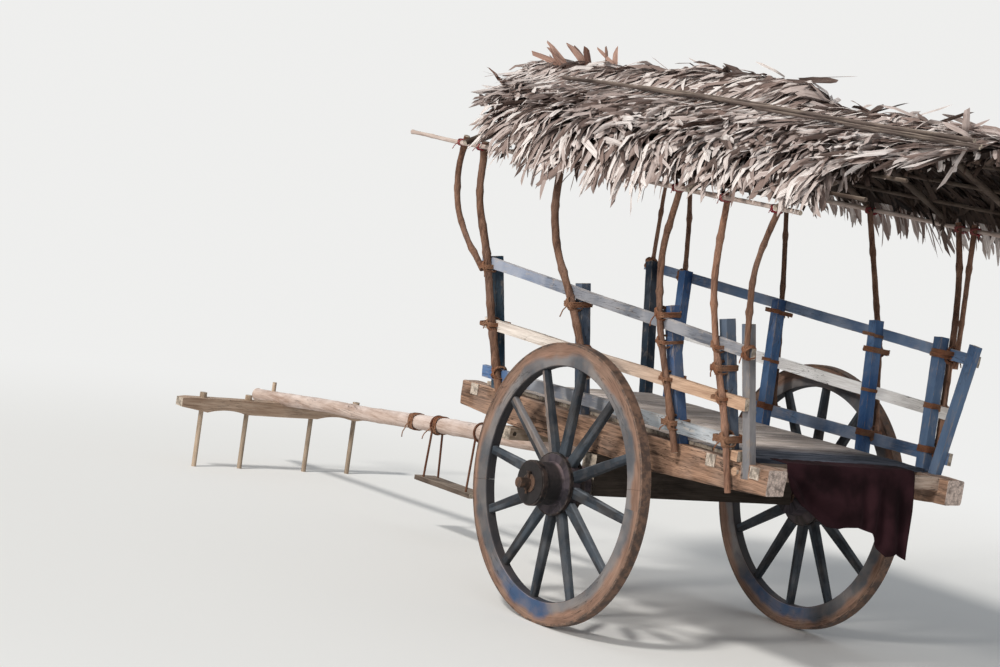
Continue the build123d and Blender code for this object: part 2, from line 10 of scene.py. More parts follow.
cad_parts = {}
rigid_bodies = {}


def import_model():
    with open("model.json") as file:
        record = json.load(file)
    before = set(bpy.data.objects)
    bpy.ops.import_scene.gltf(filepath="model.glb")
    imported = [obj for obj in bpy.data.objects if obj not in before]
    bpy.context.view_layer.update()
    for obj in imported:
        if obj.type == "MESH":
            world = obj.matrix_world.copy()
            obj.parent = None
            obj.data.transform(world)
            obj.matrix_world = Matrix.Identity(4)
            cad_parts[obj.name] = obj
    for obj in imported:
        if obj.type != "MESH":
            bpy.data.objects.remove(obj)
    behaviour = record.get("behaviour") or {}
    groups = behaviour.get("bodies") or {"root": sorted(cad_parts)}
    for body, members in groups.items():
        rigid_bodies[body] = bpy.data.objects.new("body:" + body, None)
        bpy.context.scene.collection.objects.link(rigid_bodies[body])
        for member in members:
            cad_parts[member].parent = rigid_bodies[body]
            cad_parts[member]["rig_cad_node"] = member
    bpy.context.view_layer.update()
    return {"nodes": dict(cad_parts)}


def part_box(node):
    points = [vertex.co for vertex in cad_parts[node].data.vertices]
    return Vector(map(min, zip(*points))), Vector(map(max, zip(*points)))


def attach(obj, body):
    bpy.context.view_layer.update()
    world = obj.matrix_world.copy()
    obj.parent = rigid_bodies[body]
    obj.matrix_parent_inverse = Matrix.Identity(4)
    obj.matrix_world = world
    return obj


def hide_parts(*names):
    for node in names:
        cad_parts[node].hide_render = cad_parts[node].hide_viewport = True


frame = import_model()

# Vector noise would otherwise start from the time of day
noise.seed_set(7)

# The cart is described from the middle of its axle, in metres: x forward, y to its left, z up.
tyre_low, tyre_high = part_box("tyre_left")
AXLE = Vector(((tyre_low.x + tyre_high.x) / 2, 0, (tyre_low.z + tyre_high.z) / 2))
WHEEL_RADIUS = (tyre_high.z - tyre_low.z) / 2
WHEEL_Y = (tyre_low.y + tyre_high.y) / 2
SPOKES, ROLL_LEFT, ROLL_RIGHT = 12, math.radians(8.7), math.radians(13.9)
RIM_INNER_FROM, RIM_INNER_TO = 0.6285, 0.626
RACK_LEAN = math.radians(5.5)
BEAM_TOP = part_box("beam_left")[1].z - AXLE.z
SIDES = {"left": 1, "right": -1}


def at(x, y, z):
    """A point of the cart, measured from the middle of its axle."""
    return AXLE + Vector((x, y, z))


def held(share):
    """A share, kept between none and all."""
    return min(max(share, 0), 1)


def smooth(bm):
    """Shades all faces smooth."""
    for face in bm.faces:
        face.smooth = True


def grid(across, down, size=0.5):
    """A flat bmesh of cells, that far from the origin on each side."""
    bm = bmesh.new()
    bmesh.ops.create_grid(bm, x_segments=across, y_segments=down, size=size)
    return bm


def of_kind(made, kind):
    """The new parts of a bmesh that are of one kind."""
    return [part for part in made if isinstance(part, kind)]


def unwrap(bm, point):
    """Gives a bmesh the UV map that a function of each corner's place says."""
    uv = bm.loops.layers.uv.new("UVMap")
    for face in bm.faces:
        for loop in face.loops:
            loop[uv].uv = point(loop.vert.co)


def new_object(title, bm, material):
    """A new object in the scene, made of a bmesh."""
    mesh = bpy.data.meshes.new(title)
    bm.to_mesh(mesh)
    bm.free()
    mesh.materials.append(material)
    made = bpy.data.objects.new(title, mesh)
    bpy.context.scene.collection.objects.link(made)
    return made


# Shader nodes

class Wire:
    """The output of a shader node. Sums, products and quotients of wires are Math nodes."""

    def __init__(self, socket, tree):
        self.socket, self.tree = socket, tree

    def __add__(self, other):
        return maths("ADD", self, other)

    def __sub__(self, other):
        return maths("SUBTRACT", self, other)

    def __mul__(self, other):
        return maths("MULTIPLY", self, other)

    def __truediv__(self, other):
        return maths("DIVIDE", self, other)


def feed(node, links):
    """Feeds inputs of a node with wires or plain values."""
    for name, value in links.items():
        socket = node.inputs[name]
        if isinstance(value, Wire):
            value.tree.links.new(value.socket, socket)
        else:
            socket.default_value = (*value, 1) if socket.type == "RGBA" else value


def add(kind, links=None, out=0, tree=None, **settings):
    """One output of a new node, whose inputs are wires or values. It needs a tree if it has no wire."""
    links = links or {}
    tree = tree or next(value.tree for value in links.values() if isinstance(value, Wire))
    made = tree.nodes.new("ShaderNode" + kind)
    for name, value in settings.items():
        setattr(made, name, value)
    feed(made, links)
    return Wire(made.outputs[out], tree)


def maths(operation, first, second=0.5, third=0.5):
    """The result of a Math node."""
    return add("Math", {0: first, 1: second, 2: third}, operation=operation)


def mix(share, first, second, blend="MIX"):
    """A mix of two colours."""
    return add("Mix", {0: share, 6: first, 7: second}, out=2, data_type="RGBA", blend_type=blend)


def ramp(value, low, high, to_low=0.0, to_high=1.0, smooth=True):
    """A value stretched from one range to another and held there."""
    links = {"Value": value, "From Min": low, "From Max": high, "To Min": to_low, "To Max": to_high}
    return add("MapRange", links, interpolation_type="SMOOTHSTEP" if smooth else "LINEAR")


def clouds(place, scale, detail, **more):
    """Noise at a place."""
    return add("TexNoise", {"Vector": place, "Scale": scale, "Detail": detail, **more})


def streaks(place, stretch, scale, detail, distortion=0.0):
    """Noise drawn out along X."""
    drawn = add("Mapping", {"Vector": place, "Scale": stretch})
    return clouds(drawn, scale, detail, Distortion=distortion)


def parts(wire):
    """The X, Y and Z of a place or a direction."""
    split = add("SeparateXYZ", {0: wire}).socket.node
    return [Wire(socket, wire.tree) for socket in split.outputs]


def geometry(tree, out):
    """A value that belongs to the shaded point itself."""
    return add("NewGeometry", out=out, tree=tree)


def bump(height, distance):
    """Relief of a given depth in metres."""
    return add("Bump", {"Height": height, "Distance": distance, "Strength": 1.0})


def emptied(owner):
    """The node tree of a material or a world, with no nodes in it."""
    owner.use_nodes = True
    owner.node_tree.nodes.clear()
    return owner.node_tree


def show(shader, kind="Material"):
    """Leads a shader to the output."""
    feed(shader.tree.nodes.new("ShaderNodeOutput" + kind), {"Surface": shader})


# Camera, floor and light

VIEW_FROM = (-11.2, 9.29, 1.893)
VIEW_FORWARD = Vector((0.81467, -0.57414, -0.08166))
VIEW_UP = Vector((0.14959, 0.07201, 0.98612))
VIEW_FOCAL_MM, VIEW_FILM_MM, VIEW_END = 96.0, 36.0, 200
BACKDROP_GREY = (0.86, 0.86, 0.85)
SKY_COLOUR, SKY_STRENGTH = (0.92, 0.96, 1.0), 0.4
FLOOR_HALF, FLOOR_FADE_FROM, FLOOR_FADE_TO = 60.0, 3.5, 8.5
# Lamps: name, strength and the way they shine
LAMPS = [("high_lamp", 1.7, (0.18, -0.66, -0.73)), ("low_lamp", 1.4, (0.2, -0.92, -0.33))]
LAMP_ANGLE, LAMP_COLOUR = math.radians(7), (1.0, 0.965, 0.91)


def camera():
    """The camera stands where the photograph was taken."""
    data = bpy.data.cameras.new("camera")
    data.lens, data.sensor_width, data.clip_end = VIEW_FOCAL_MM, VIEW_FILM_MM, VIEW_END
    made = bpy.data.objects.new("camera", data)
    right = VIEW_FORWARD.cross(VIEW_UP).normalized()
    up = right.cross(VIEW_FORWARD).normalized()
    turn = Matrix((right, up, -VIEW_FORWARD.normalized())).transposed()
    made.matrix_world = Matrix.Translation(at(*VIEW_FROM)) @ turn.to_4x4()
    bpy.context.scene.collection.objects.link(made)
    bpy.context.scene.camera = made


def floor():
    """A pale floor that fades into the backdrop away from the cart."""
    material = bpy.data.materials.new("floor")
    tree = emptied(material)
    place = add("TexCoord", out="Object", tree=tree)
    away = add("VectorMath", {0: place}, out="Value", operation="LENGTH")
    seen = add("LightPath", out="Is Camera Ray", tree=tree)
    matt = add("BsdfDiffuse", {"Color": BACKDROP_GREY}, tree=tree)
    plain = add("Emission", {"Color": BACKDROP_GREY, "Strength": 1.0}, tree=tree)
    show(add("MixShader", {0: ramp(away, FLOOR_FADE_FROM, FLOOR_FADE_TO) * seen, 1: matt, 2: plain}))
    new_object("floor", grid(1, 1, FLOOR_HALF), material)


def light():
    """A soft sky all round, and two lamps from the cart's left, one low enough to reach under the roof."""
    world = bpy.data.worlds.new("studio")
    bpy.context.scene.world = world
    tree = emptied(world)
    rays = [add("LightPath", out=f"Is {ray} Ray", tree=tree) for ray in ("Camera", "Glossy")]
    soft = add("Background", {"Color": SKY_COLOUR, "Strength": SKY_STRENGTH}, tree=tree)
    pale = add("Background", {"Color": BACKDROP_GREY, "Strength": 1.0}, tree=tree)
    show(add("MixShader", {0: maths("MAXIMUM", *rays), 1: soft, 2: pale}), "World")
    for name, energy, toward_cart in LAMPS:
        data = bpy.data.lights.new(name, "SUN")
        data.energy, data.angle, data.color = energy, LAMP_ANGLE, LAMP_COLOUR
        lamp = bpy.data.objects.new(name, data)
        lamp.rotation_mode = "QUATERNION"
        lamp.rotation_quaternion = Vector(toward_cart).to_track_quat("-Z", "Y")
        bpy.context.scene.collection.objects.link(lamp)


# Effects that several finishes share

def effect(**inputs):
    """Makes a node group of a function that takes its inputs as wires and gives its outputs by name."""
    def group(build):
        tree = bpy.data.node_groups.new(build.__name__, "ShaderNodeTree")
        for name, value in inputs.items():
            kind = "Vector" if isinstance(value, tuple) else "Float"
            socket = tree.interface.new_socket(name, in_out="INPUT", socket_type="NodeSocket" + kind)
            socket.default_value = value
        given = tree.nodes.new("NodeGroupInput").outputs
        results = build(*(Wire(given[name], tree) for name in inputs))
        for name, wire in results.items():
            kind = "Vector" if wire.socket.type == "VECTOR" else "Float"
            tree.interface.new_socket(name, in_out="OUTPUT", socket_type="NodeSocket" + kind)
        feed(tree.nodes.new("NodeGroupOutput"), results)
        return tree
    return group


def use(group, **links):
    """The outputs of a shared effect, by name."""
    first = add("Group", links, node_tree=group)
    return {socket.name: Wire(socket, first.tree) for socket in first.socket.node.outputs}


@effect(place=(0, 0, 0), cracks=0.5)
def timber_grain(place, cracks):
    """Old timber: bands and fibres along X, and long drying cracks."""
    bands = streaks(place, (1.6, 16, 16), 2.2, 5.0, 0.6)
    fibres = streaks(place, (5, 150, 150), 2.0, 3.0)
    line = streaks(place, (1.1, 17, 17), 2.6, 2.0, 1.3)
    split = ramp(maths("ABSOLUTE", line - 0.5), 0.0, 0.016, 1.0, 0.0)
    crack = split * ramp(streaks(place, (1, 3, 3), 1.7, 2.0), 0.46, 0.6) * cracks
    return {"tone": ramp(fibres * 0.45 + bands * 0.55, 0.36, 0.64, smooth=False), "crack": crack,
            "height": fibres * 0.35 + bands * 0.5 - crack}


@effect(place=(0, 0, 0), width=0.006, scale=14.0)
def edge_wear(place, width, scale):
    """Edges rubbed bare, broken up by noise."""
    rounded = add("Bevel", {"Radius": width}, samples=4)
    links = {0: rounded, 1: geometry(place.tree, "Normal")}
    facing = add("VectorMath", links, out="Value", operation="DOT_PRODUCT")
    rough = clouds(place, scale, 6.0)
    return {"edge": ramp(facing, 0.995, 0.86) * ramp(rough, 0.4, 0.58), "patch": ramp(rough, 0.5, 0.6)}


@effect(place=(0, 0, 0), scale=6.0)
def road_dust(place, scale):
    """Pale road dust that lies on upward faces and in soft clouds."""
    upward = ramp(parts(geometry(place.tree, "Normal"))[2], 0.15, 0.95)
    cloud = clouds(place, scale, 5.0)
    return {"top": upward * ramp(cloud, 0.3, 0.62), "cloud": ramp(cloud, 0.42, 0.66)}


@effect(place=(0, 0, 0))
def wheel_place(place):
    """Places on a wheel: along its rim and its spokes, and the spoke's number, from 100 up on the left."""
    x, y, z = parts(add("VectorMath", {0: place, 1: tuple(AXLE)}, operation="SUBTRACT"))
    angle = maths("ARCTAN2", z, x)
    radius = maths("SQRT", x * x + z * z)
    on_left = maths("GREATER_THAN", y, 0.0)
    step = 2 * math.pi / SPOKES
    turned = (angle - (on_left * (ROLL_RIGHT - ROLL_LEFT) - ROLL_RIGHT)) / step + 0.5
    number = maths("FLOOR", turned)
    # A spoke's own width is measured square to it, so that fibres stay parallel along it
    across = (turned - number - 0.5) * step * radius + number * 3.7
    return {"round": add("CombineXYZ", {0: angle * WHEEL_RADIUS, 1: radius, 2: y}),
            "radial": add("CombineXYZ", {0: radius, 1: across, 2: y}),
            "radius": radius, "angle": angle, "spoke": on_left * 100.0 + number}


@effect(place=(0, 0, 0))
def end_grain(place):
    """Sawn ends: where a face looks along an axis, and the checked pattern of its end grain."""
    normal = parts(geometry(place.tree, "True Normal"))
    cell = add("TexVoronoi", {"Vector": place, "Scale": 55.0}, feature="DISTANCE_TO_EDGE")
    tone = ramp(cell, 0.0, 0.12, 0.45, 1.0) * ramp(clouds(place, 30.0, 6.0), 0.34, 0.56)
    facing = {axis: ramp(maths("ABSOLUTE", part), 0.8, 0.9) for axis, part in zip("XYZ", normal)}
    return {"tone": tone, **facing}


# Finishes

WEAVE = 2600.0


def finish(build):
    """Makes materials with a function that takes the place on the object and gives the shader's inputs."""
    def made(name, *values, **options):
        material = bpy.data.materials.new(name)
        place = add("TexCoord", out="Object", tree=emptied(material))
        inputs = {"Roughness": 0.8, "Specular IOR Level": 0.25, **build(place, *values, **options)}
        show(add("BsdfPrincipled", inputs))
        return material
    return made


def banded(value, bands, soft):
    """A colour that changes at given values: the first colour, then pairs of a value and a colour."""
    colour = bands[0]
    for limit, after in bands[1:]:
        colour = mix(ramp(value, limit - soft, limit + soft), colour, after)
    return colour


def along(place, axis):
    """The place with the grain's own axis put first."""
    if axis == "X":
        return place
    x, y, z = parts(place)
    return add("CombineXYZ", dict(enumerate((y, z, x) if axis == "Y" else (z, x, y))))


@finish
def timber(place, axis, light, dark, cracks=0.8, wear=0.35, dust=0.3, dust_colour=(0.5, 0.41, 0.33),
           paint=None, faded=None, bare=0.35, relief=0.0016, uneven=0.35, sawn=(0.5, 0.42, 0.34), tail=None,
           bands=None, soft=0.004, shine=0.25):
    """Bare or painted old wood, with its grain along one axis, and its sawn ends."""
    grain = use(timber_grain, place=along(place, axis), cracks=cracks)
    worn = use(edge_wear, place=place, width=0.007, scale=16.0)
    dusty = use(road_dust, place=place, scale=5.0)
    ends = use(end_grain, place=place)
    x = parts(place)[0]
    board = geometry(place.tree, "Random Per Island")
    shade = ramp(board, 0, 1, 1 - uneven, 1 + uneven * 0.4, smooth=False)
    grey = add("CombineColor", {0: shade, 1: shade, 2: shade})
    wood = mix(1.0, mix(grain["tone"], dark, light), grey, "MULTIPLY")
    if paint:
        fade = grain["tone"] * 0.35 + ramp(clouds(along(place, axis), 3.0, 4.0), 0.35, 0.65) * 0.65
        if bands:
            limits = [AXLE.x + row[0] for row in bands[1:]]
            paint, faded = (banded(x, [bands[0][i], *zip(limits, (row[1 + i] for row in bands[1:]))], soft)
                            for i in (0, 1))
        lost = worn["patch"] * ramp(grain["tone"], 0.45, 0.75) * bare
        colour = mix(maths("MAXIMUM", lost, worn["edge"] * 0.9), mix(fade, paint, faded), wood)
    else:
        colour = mix(worn["edge"] * wear, wood, tuple(min(1.0, c * 1.45 + 0.05) for c in light))
    colour = mix(dusty["top"] * dust, colour, dust_colour)
    colour = mix(dusty["cloud"] * (dust * 0.4), colour, dust_colour)
    if tail:
        from_x, to_x, tail_light, tail_dark, share = tail
        at_tail = ramp(x, AXLE.x + from_x, AXLE.x + to_x, share, 0)
        colour = mix(at_tail, colour, mix(grain["tone"], tail_dark, tail_light))
    colour = mix(grain["crack"], colour, (0.03, 0.02, 0.015))
    colour = mix(ends[axis], colour, mix(ends["tone"], tuple(c * 0.35 for c in sawn), sawn))
    return {"Base Color": colour, "Roughness": ramp(grain["tone"], 0, 1, 0.9, 0.66),
            "Specular IOR Level": shine, "Normal": bump(grain["height"], relief)}


@finish
def wheel_wood(place, light, dark, paint, faded, way, bare_from, bare_to, dust, top, worn_share,
               edge_share=0.8, bare_spoke=None, rim_inner_shade=0.0, black_neck=False):
    """Painted wheel timber, with its grain round the rim or along the spokes, bare towards the tread, and
    with painted shade on the rim's inner thickness where asked.
    """
    wheel = use(wheel_place, place=place)
    grain = use(timber_grain, place=wheel[way], cracks=0.7)
    worn = use(edge_wear, place=place, width=0.006, scale=18.0)
    dusty = use(road_dust, place=place, scale=7.0)
    cloud = clouds(wheel[way], 3.5, 5.0)
    coat = mix(ramp(cloud, 0.38, 0.62), paint, faded)
    lost = ramp((cloud - 0.5) * 0.16 + wheel["radius"], bare_from, bare_to)
    lost = maths("MAXIMUM", lost, worn["edge"] * edge_share)
    lost = maths("MAXIMUM", lost, worn["patch"] * worn_share)
    if rim_inner_shade:
        # The paint is bluest at the foot of the rim
        low = ramp(wheel["angle"], -2.0, -1.7) * ramp(wheel["angle"], -0.8, -1.2) * ramp(cloud, 0.62, 0.46)
        coat = mix(low * 0.75, coat, (0.03, 0.075, 0.17))
    if bare_spoke:
        lost = maths("MAXIMUM", lost, maths("COMPARE", wheel["spoke"], bare_spoke, 0.5) * 0.9)
    colour = mix(lost, coat, mix(grain["tone"], dark, light))
    colour = mix(dusty["top"] * 0.5, colour, top)
    colour = mix(dusty["cloud"] * dust, colour, (0.44, 0.34, 0.26))
    if rim_inner_shade:
        # Painted shade: the inner thickness of the rim is coloured near black
        rim_shade_share = ramp(wheel["radius"], RIM_INNER_FROM, RIM_INNER_TO, 0.0, rim_inner_shade)
        colour = mix(rim_shade_share, colour, (0.022, 0.022, 0.026))
    colour = mix(grain["crack"], colour, (0.03, 0.025, 0.02))
    if black_neck:
        # Axle grease has blackened the neck and the end face
        greasy = ramp(maths("ABSOLUTE", parts(place)[1]), WHEEL_Y + 0.048, WHEEL_Y + 0.075, 0.0, 0.85)
        colour = mix(greasy, colour, (0.012, 0.011, 0.011))
    return {"Base Color": colour, "Normal": bump(grain["height"], 0.002)}


@finish
def old_iron(place, dark, rust, bright, shine, rough):
    """Forged iron: dark scale, rust in clouds and rubbed edges."""
    worn = use(edge_wear, place=place, width=0.004, scale=30.0)
    cloud = clouds(place, 22.0, 8.0, Roughness=0.65)
    colour = mix(ramp(cloud, 0.4, 0.62), dark, rust)
    return {"Base Color": mix(worn["edge"] * 0.8, colour, bright),
            "Metallic": ramp(cloud, 0.4, 0.62, shine, 0.02),
            "Roughness": ramp(cloud, 0.35, 0.65, rough - 0.12, 0.92),
            "Normal": bump(cloud * 0.7 + clouds(place, 160.0, 4.0) * 0.3, 0.0016)}


@finish
def coir(place, lights, darks):
    """Twisted coir rope: the strands follow the rope's own UV map."""
    uv = add("TexCoord", out="UV", tree=place.tree)
    turned = add("Mapping", {"Vector": uv, "Rotation": (0, 0, math.radians(35))})
    wave = add("TexWave", {"Vector": turned, "Scale": 5.0, "Distortion": 1.5, "Detail": 2.0}, out="Fac")
    tone = wave * 0.5 + clouds(place, 260.0, 4.0) * 0.5
    cloud = ramp(clouds(place, 9.0, 3.0), 0.38, 0.62)
    return {"Base Color": mix(ramp(tone, 0.25, 0.7), mix(cloud, *darks), mix(cloud, *lights)),
            "Roughness": 0.92, "Normal": bump(tone, 0.0022)}


@finish
def palm_leaf(place, shade=(1.0, 1.0, 1.0)):
    """Dry palm leaf strips: no two the same colour, with veins along each strip's own length, painted
    sunlight at the front of the ridge and painted shade at each strip's covered end.
    """
    strip = geometry(place.tree, "Random Per Island")
    uv = add("TexCoord", out="UV", tree=place.tree)
    own = add("CombineXYZ", {0: strip * 37.0, 1: 0.0, 2: 0.0})
    moved = add("VectorMath", {0: uv, 1: own}, operation="ADD")
    veins = streaks(moved, (9, 1.6, 1), 1.4, 4.0)
    dark, brown, grey, pale = (tuple(c * t for c, t in zip(colour, shade)) for colour in LEAF_COLOURS)
    # Painted sunlight: the front of the ridge is coloured palest, as a sunlit patch
    x, _, z = parts(place)
    front = ramp(x, AXLE.x + 0.7, AXLE.x + 1.5) * ramp(z, AXLE.z + 1.9, AXLE.z + 2.2)
    strip = front * 0.22 + strip
    colour = mix(ramp(strip, 0.06, 0.2), dark, brown)
    colour = mix(ramp(strip, 0.18, 0.48), colour, grey)
    colour = mix(ramp(strip, 0.5, 0.85), colour, pale)
    colour = mix(ramp(veins, 0.34, 0.6, 0.7, 0.0), colour, brown)
    colour = mix(ramp(clouds(place, 3.2, 4.0), 0.52, 0.7, 0.0, 0.35), colour, brown)
    # Painted shade: the covered end of each strip is darkened, so that the gaps between strips look shaded
    colour = mix(ramp(parts(uv)[1], 0.12, 0.46, 0.65, 0.0), colour, dark)
    return {"Base Color": colour, "Roughness": ramp(veins, 0.3, 0.7, 0.85, 0.6),
            "Normal": bump(veins, 0.0012)}


@finish
def cotton(place, dark, light):
    """Dark worn cotton: a fine plain weave, dusty in clouds."""
    _, y, z = parts(place)
    weave = maths("SINE", y * WEAVE) * maths("SINE", z * WEAVE)
    colour = mix(ramp(clouds(place, 6.0, 6.0), 0.35, 0.65), dark, light)
    return {"Base Color": mix(weave * 0.1 + 0.1, colour, light), "Roughness": 0.92,
            "Specular IOR Level": 0.06, "Normal": bump(weave * 0.3 + clouds(place, 420.0, 2.0), 0.0004)}


LEAF_COLOURS = [(0.055, 0.036, 0.03), (0.24, 0.172, 0.15), (0.56, 0.475, 0.445), (0.9, 0.84, 0.81)]
RAW, RAW_DARK = (0.42, 0.33, 0.26), (0.18, 0.13, 0.1)
TEAL, TEAL_FADED = (0.012, 0.036, 0.066), (0.04, 0.085, 0.13)
SLATE, SLATE_FADED = (0.04, 0.066, 0.115), (0.105, 0.138, 0.19)
BLUE, BLUE_FADED = (0.024, 0.072, 0.195), (0.075, 0.15, 0.29)
GREY, GREY_FADED = (0.085, 0.088, 0.1), (0.21, 0.205, 0.215)
FINISHES = {
    "beams": timber("beam_wood", "X", (0.42, 0.25, 0.165), (0.055, 0.03, 0.02), cracks=1.0, relief=0.007,
        sawn=(0.62, 0.5, 0.44), dust_colour=(0.62, 0.49, 0.42)),
    "cross_bar": timber("cross_bar_wood", "Y", (0.52, 0.42, 0.35), (0.24, 0.16, 0.12), cracks=1.0,
        sawn=(0.58, 0.49, 0.41)),
    "bare_wood": timber("bare_wood", "X", (0.76, 0.69, 0.63), (0.46, 0.39, 0.34), wear=0.5, tail=(-1.0, 0.7,
        (0.6, 0.38, 0.24), (0.32, 0.18, 0.11), 0.9)),
    "white_rail": timber("white_rail_wood", "X", (0.92, 0.92, 0.92), (0.66, 0.64, 0.63), wear=0.5, dust=0.5,
        dust_colour=(0.92, 0.9, 0.88), tail=(-1.2, -0.5, (0.66, 0.62, 0.58), (0.34, 0.3, 0.28), 0.8)),
    "bolster": timber("bolster_wood", "Y", (0.46, 0.37, 0.29), (0.22, 0.16, 0.11)),
    "left_stakes": timber("left_stake_paint", "Z", RAW, RAW_DARK, bare=0.45, dust=0.15, paint=TEAL,
        bands=[(GREY, GREY_FADED), (-1.125, SLATE, SLATE_FADED), (-0.8, BLUE, SLATE_FADED), (-0.2, SLATE,
        SLATE_FADED), (0.65, TEAL, TEAL_FADED)]),
    "right_stakes": timber("right_stake_paint", "Z", RAW, RAW_DARK, bare=0.25, dust=0.25, dust_colour=(0.4,
        0.46, 0.56), paint=BLUE, bands=[((0.04, 0.085, 0.18), (0.11, 0.17, 0.27)), (-0.8, BLUE, BLUE_FADED),
        (1.22, (0.01, 0.012, 0.018), TEAL)]),
    "blue_rails": timber("blue_rail_paint", "X", RAW, RAW_DARK, paint=(0.062, 0.11, 0.205), faded=(0.13,
        0.2, 0.325), bare=0.25, dust=0.6, dust_colour=(0.6, 0.62, 0.68)),
    "top_rail": timber("top_rail_paint", "X", (0.5, 0.43, 0.37), (0.24, 0.19, 0.16), bare=0.45, dust=0.5,
        dust_colour=(0.72, 0.68, 0.68), paint=GREY, bands=[((0.105, 0.115, 0.14), (0.215, 0.225, 0.255)),
        (0.45, (0.16, 0.2, 0.29), (0.29, 0.33, 0.42))], soft=0.35),
    "lower_rail": timber("lower_rail_paint", "X", (0.5, 0.43, 0.37), (0.24, 0.19, 0.16), bare=0.5, dust=0.5,
        dust_colour=(0.78, 0.77, 0.77), paint=GREY, bands=[((0.19, 0.21, 0.23), (0.42, 0.45, 0.48)), (-0.1,
        (0.11, 0.12, 0.155), (0.24, 0.26, 0.31)), (0.8, (0.075, 0.145, 0.3), (0.15, 0.23, 0.38))],
        soft=0.15),
    "deck": timber("deck_wood", "Y", (1.0, 0.91, 0.86), (0.36, 0.29, 0.26), cracks=1.0, uneven=0.3,
        tail=(-0.92, -0.6, (0.115, 0.13, 0.17), (0.008, 0.011, 0.018), 1.0), shine=0.08),
    # Painted shade: the axle bed under the deck is coloured near black
    "dark_wood": timber("dark_wood", "Y", (0.055, 0.04, 0.03), (0.02, 0.014, 0.01), dust=0.05),
    "board": timber("footboard_wood", "X", (0.12, 0.085, 0.065), (0.04, 0.028, 0.022)),
    "bark_up": timber("bark_of_uprights", "Z", (0.33, 0.175, 0.11), (0.07, 0.032, 0.021), cracks=0.5,
        relief=0.0026, uneven=0.45, wear=0.5, dust_colour=(0.46, 0.31, 0.25)),
    # Painted shade: the laths and the ridge pole under the roof are coloured near black
    "bark_long": timber("bark_of_long_poles", "X", (0.085, 0.056, 0.042), (0.028, 0.018, 0.013), cracks=0.4,
        sawn=(0.12, 0.085, 0.065), relief=0.002),
    "pale_pole": timber("pale_eave_wood", "X", (0.8, 0.68, 0.62), (0.42, 0.3, 0.25), cracks=0.3,
        relief=0.002),
    "batten": timber("batten_wood", "X", (0.2, 0.15, 0.13), (0.03, 0.021, 0.019), cracks=0.5, relief=0.002,
        wear=1.0),
    # Painted shade: the rafters under the roof are coloured near black
    "bark_across": timber("bark_of_rafters", "Y", (0.08, 0.052, 0.04), (0.028, 0.018, 0.013), cracks=0.4),
    "pole": timber("pole_wood", "X", (0.76, 0.61, 0.53), (0.4, 0.27, 0.21), cracks=0.7, dust=0.5,
        dust_colour=(0.84, 0.74, 0.7)),
    "yoke": timber("yoke_wood", "Y", (0.56, 0.42, 0.32), (0.28, 0.18, 0.12), cracks=0.6),
    "pegs": timber("peg_wood", "Z", (0.56, 0.44, 0.33), (0.28, 0.2, 0.14), cracks=0.4),
    "felloes": wheel_wood("felloe_wood", (0.29, 0.172, 0.124), (0.12, 0.07, 0.05), (0.08, 0.084, 0.094),
        (0.19, 0.178, 0.178), "round", 0.672, 0.712, dust=0.12, top=(0.5, 0.39, 0.36), worn_share=0.1,
        edge_share=0.5, rim_inner_shade=0.85),
    "spokes": wheel_wood("spoke_wood", (0.27, 0.22, 0.2), (0.1, 0.082, 0.074), (0.014, 0.018, 0.024),
        (0.048, 0.06, 0.075), "radial", 0.9, 1.0, dust=0.05, top=(0.24, 0.27, 0.31), worn_share=0.08,
        edge_share=0.3, bare_spoke=102),
    "nave": wheel_wood("nave_wood", (0.15, 0.115, 0.115), (0.026, 0.021, 0.024), (0.014, 0.012, 0.016),
        (0.06, 0.048, 0.058), "round", 0.9, 1.0, dust=0.08, top=(0.34, 0.24, 0.25), worn_share=0.15,
        black_neck=True),
    "iron": old_iron("old_iron", (0.016, 0.015, 0.016), (0.045, 0.03, 0.026), (0.2, 0.18, 0.17), 0.6, 0.5),
    "axle_iron": old_iron("axle_iron", (0.045, 0.032, 0.027), (0.12, 0.068, 0.046), (0.3, 0.22, 0.17), 0.4,
        0.6),
    "tyre_iron": old_iron("tyre_iron", (0.085, 0.06, 0.05), (0.19, 0.115, 0.082), (0.4, 0.28, 0.21), 0.3,
        0.66),
    "coir": coir("coir", ((0.36, 0.155, 0.082), (0.42, 0.23, 0.14)), ((0.095, 0.036, 0.02), (0.13, 0.062,
        0.038))),
    "twine": coir("red_twine", ((0.42, 0.045, 0.06), (0.52, 0.16, 0.15)), ((0.16, 0.012, 0.02), (0.22, 0.05,
        0.05))),
    "cloth": cotton("dark_cotton", (0.009, 0.004, 0.005), (0.028, 0.011, 0.014)),
    "palm_leaf": palm_leaf("palm_leaf"),
    # Painted shade: the mat takes the leaf colours scaled down to near black
    "palm_mat": palm_leaf("palm_mat", (0.055, 0.04, 0.033)),
    # Painted shade: the under leaves take the leaf colours scaled down to near black
    "palm_under": palm_leaf("palm_under", (0.08, 0.058, 0.046)),
    "stalk": palm_leaf("palm_stalk", (0.5, 0.34, 0.28)),
}


def dress(node, name):
    """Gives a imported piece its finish."""
    materials = frame["nodes"][node].data.materials
    materials.clear()
    materials.append(FINISHES[name])


# Weathered copies of the timbers

# How closely the wear follows on itself, per metre, how deep its fine part is, and where knots are
WEAR_ACROSS, WEAR_ALONG, WEAR_FINE, FINE_SHARE, SWAY_ALONG = 9.0, 2.5, 40.0, 0.45, 1.7
KNOT_PITCH, KNOT_WIDTH = 0.21, 0.09
FLAT_ANGLE, SHARP_ANGLE = math.radians(2), math.radians(38)


def knot_swell(share, seed):
    """How much a stick swells at its knots, by the distance along it."""
    cell = math.floor(share)
    drawn = random.Random(seed * 1009 + cell)
    middle = cell + 0.2 + 0.6 * drawn.random()
    return math.exp(-((share - middle) / KNOT_WIDTH) ** 2) * drawn.uniform(0.2, 1.0)


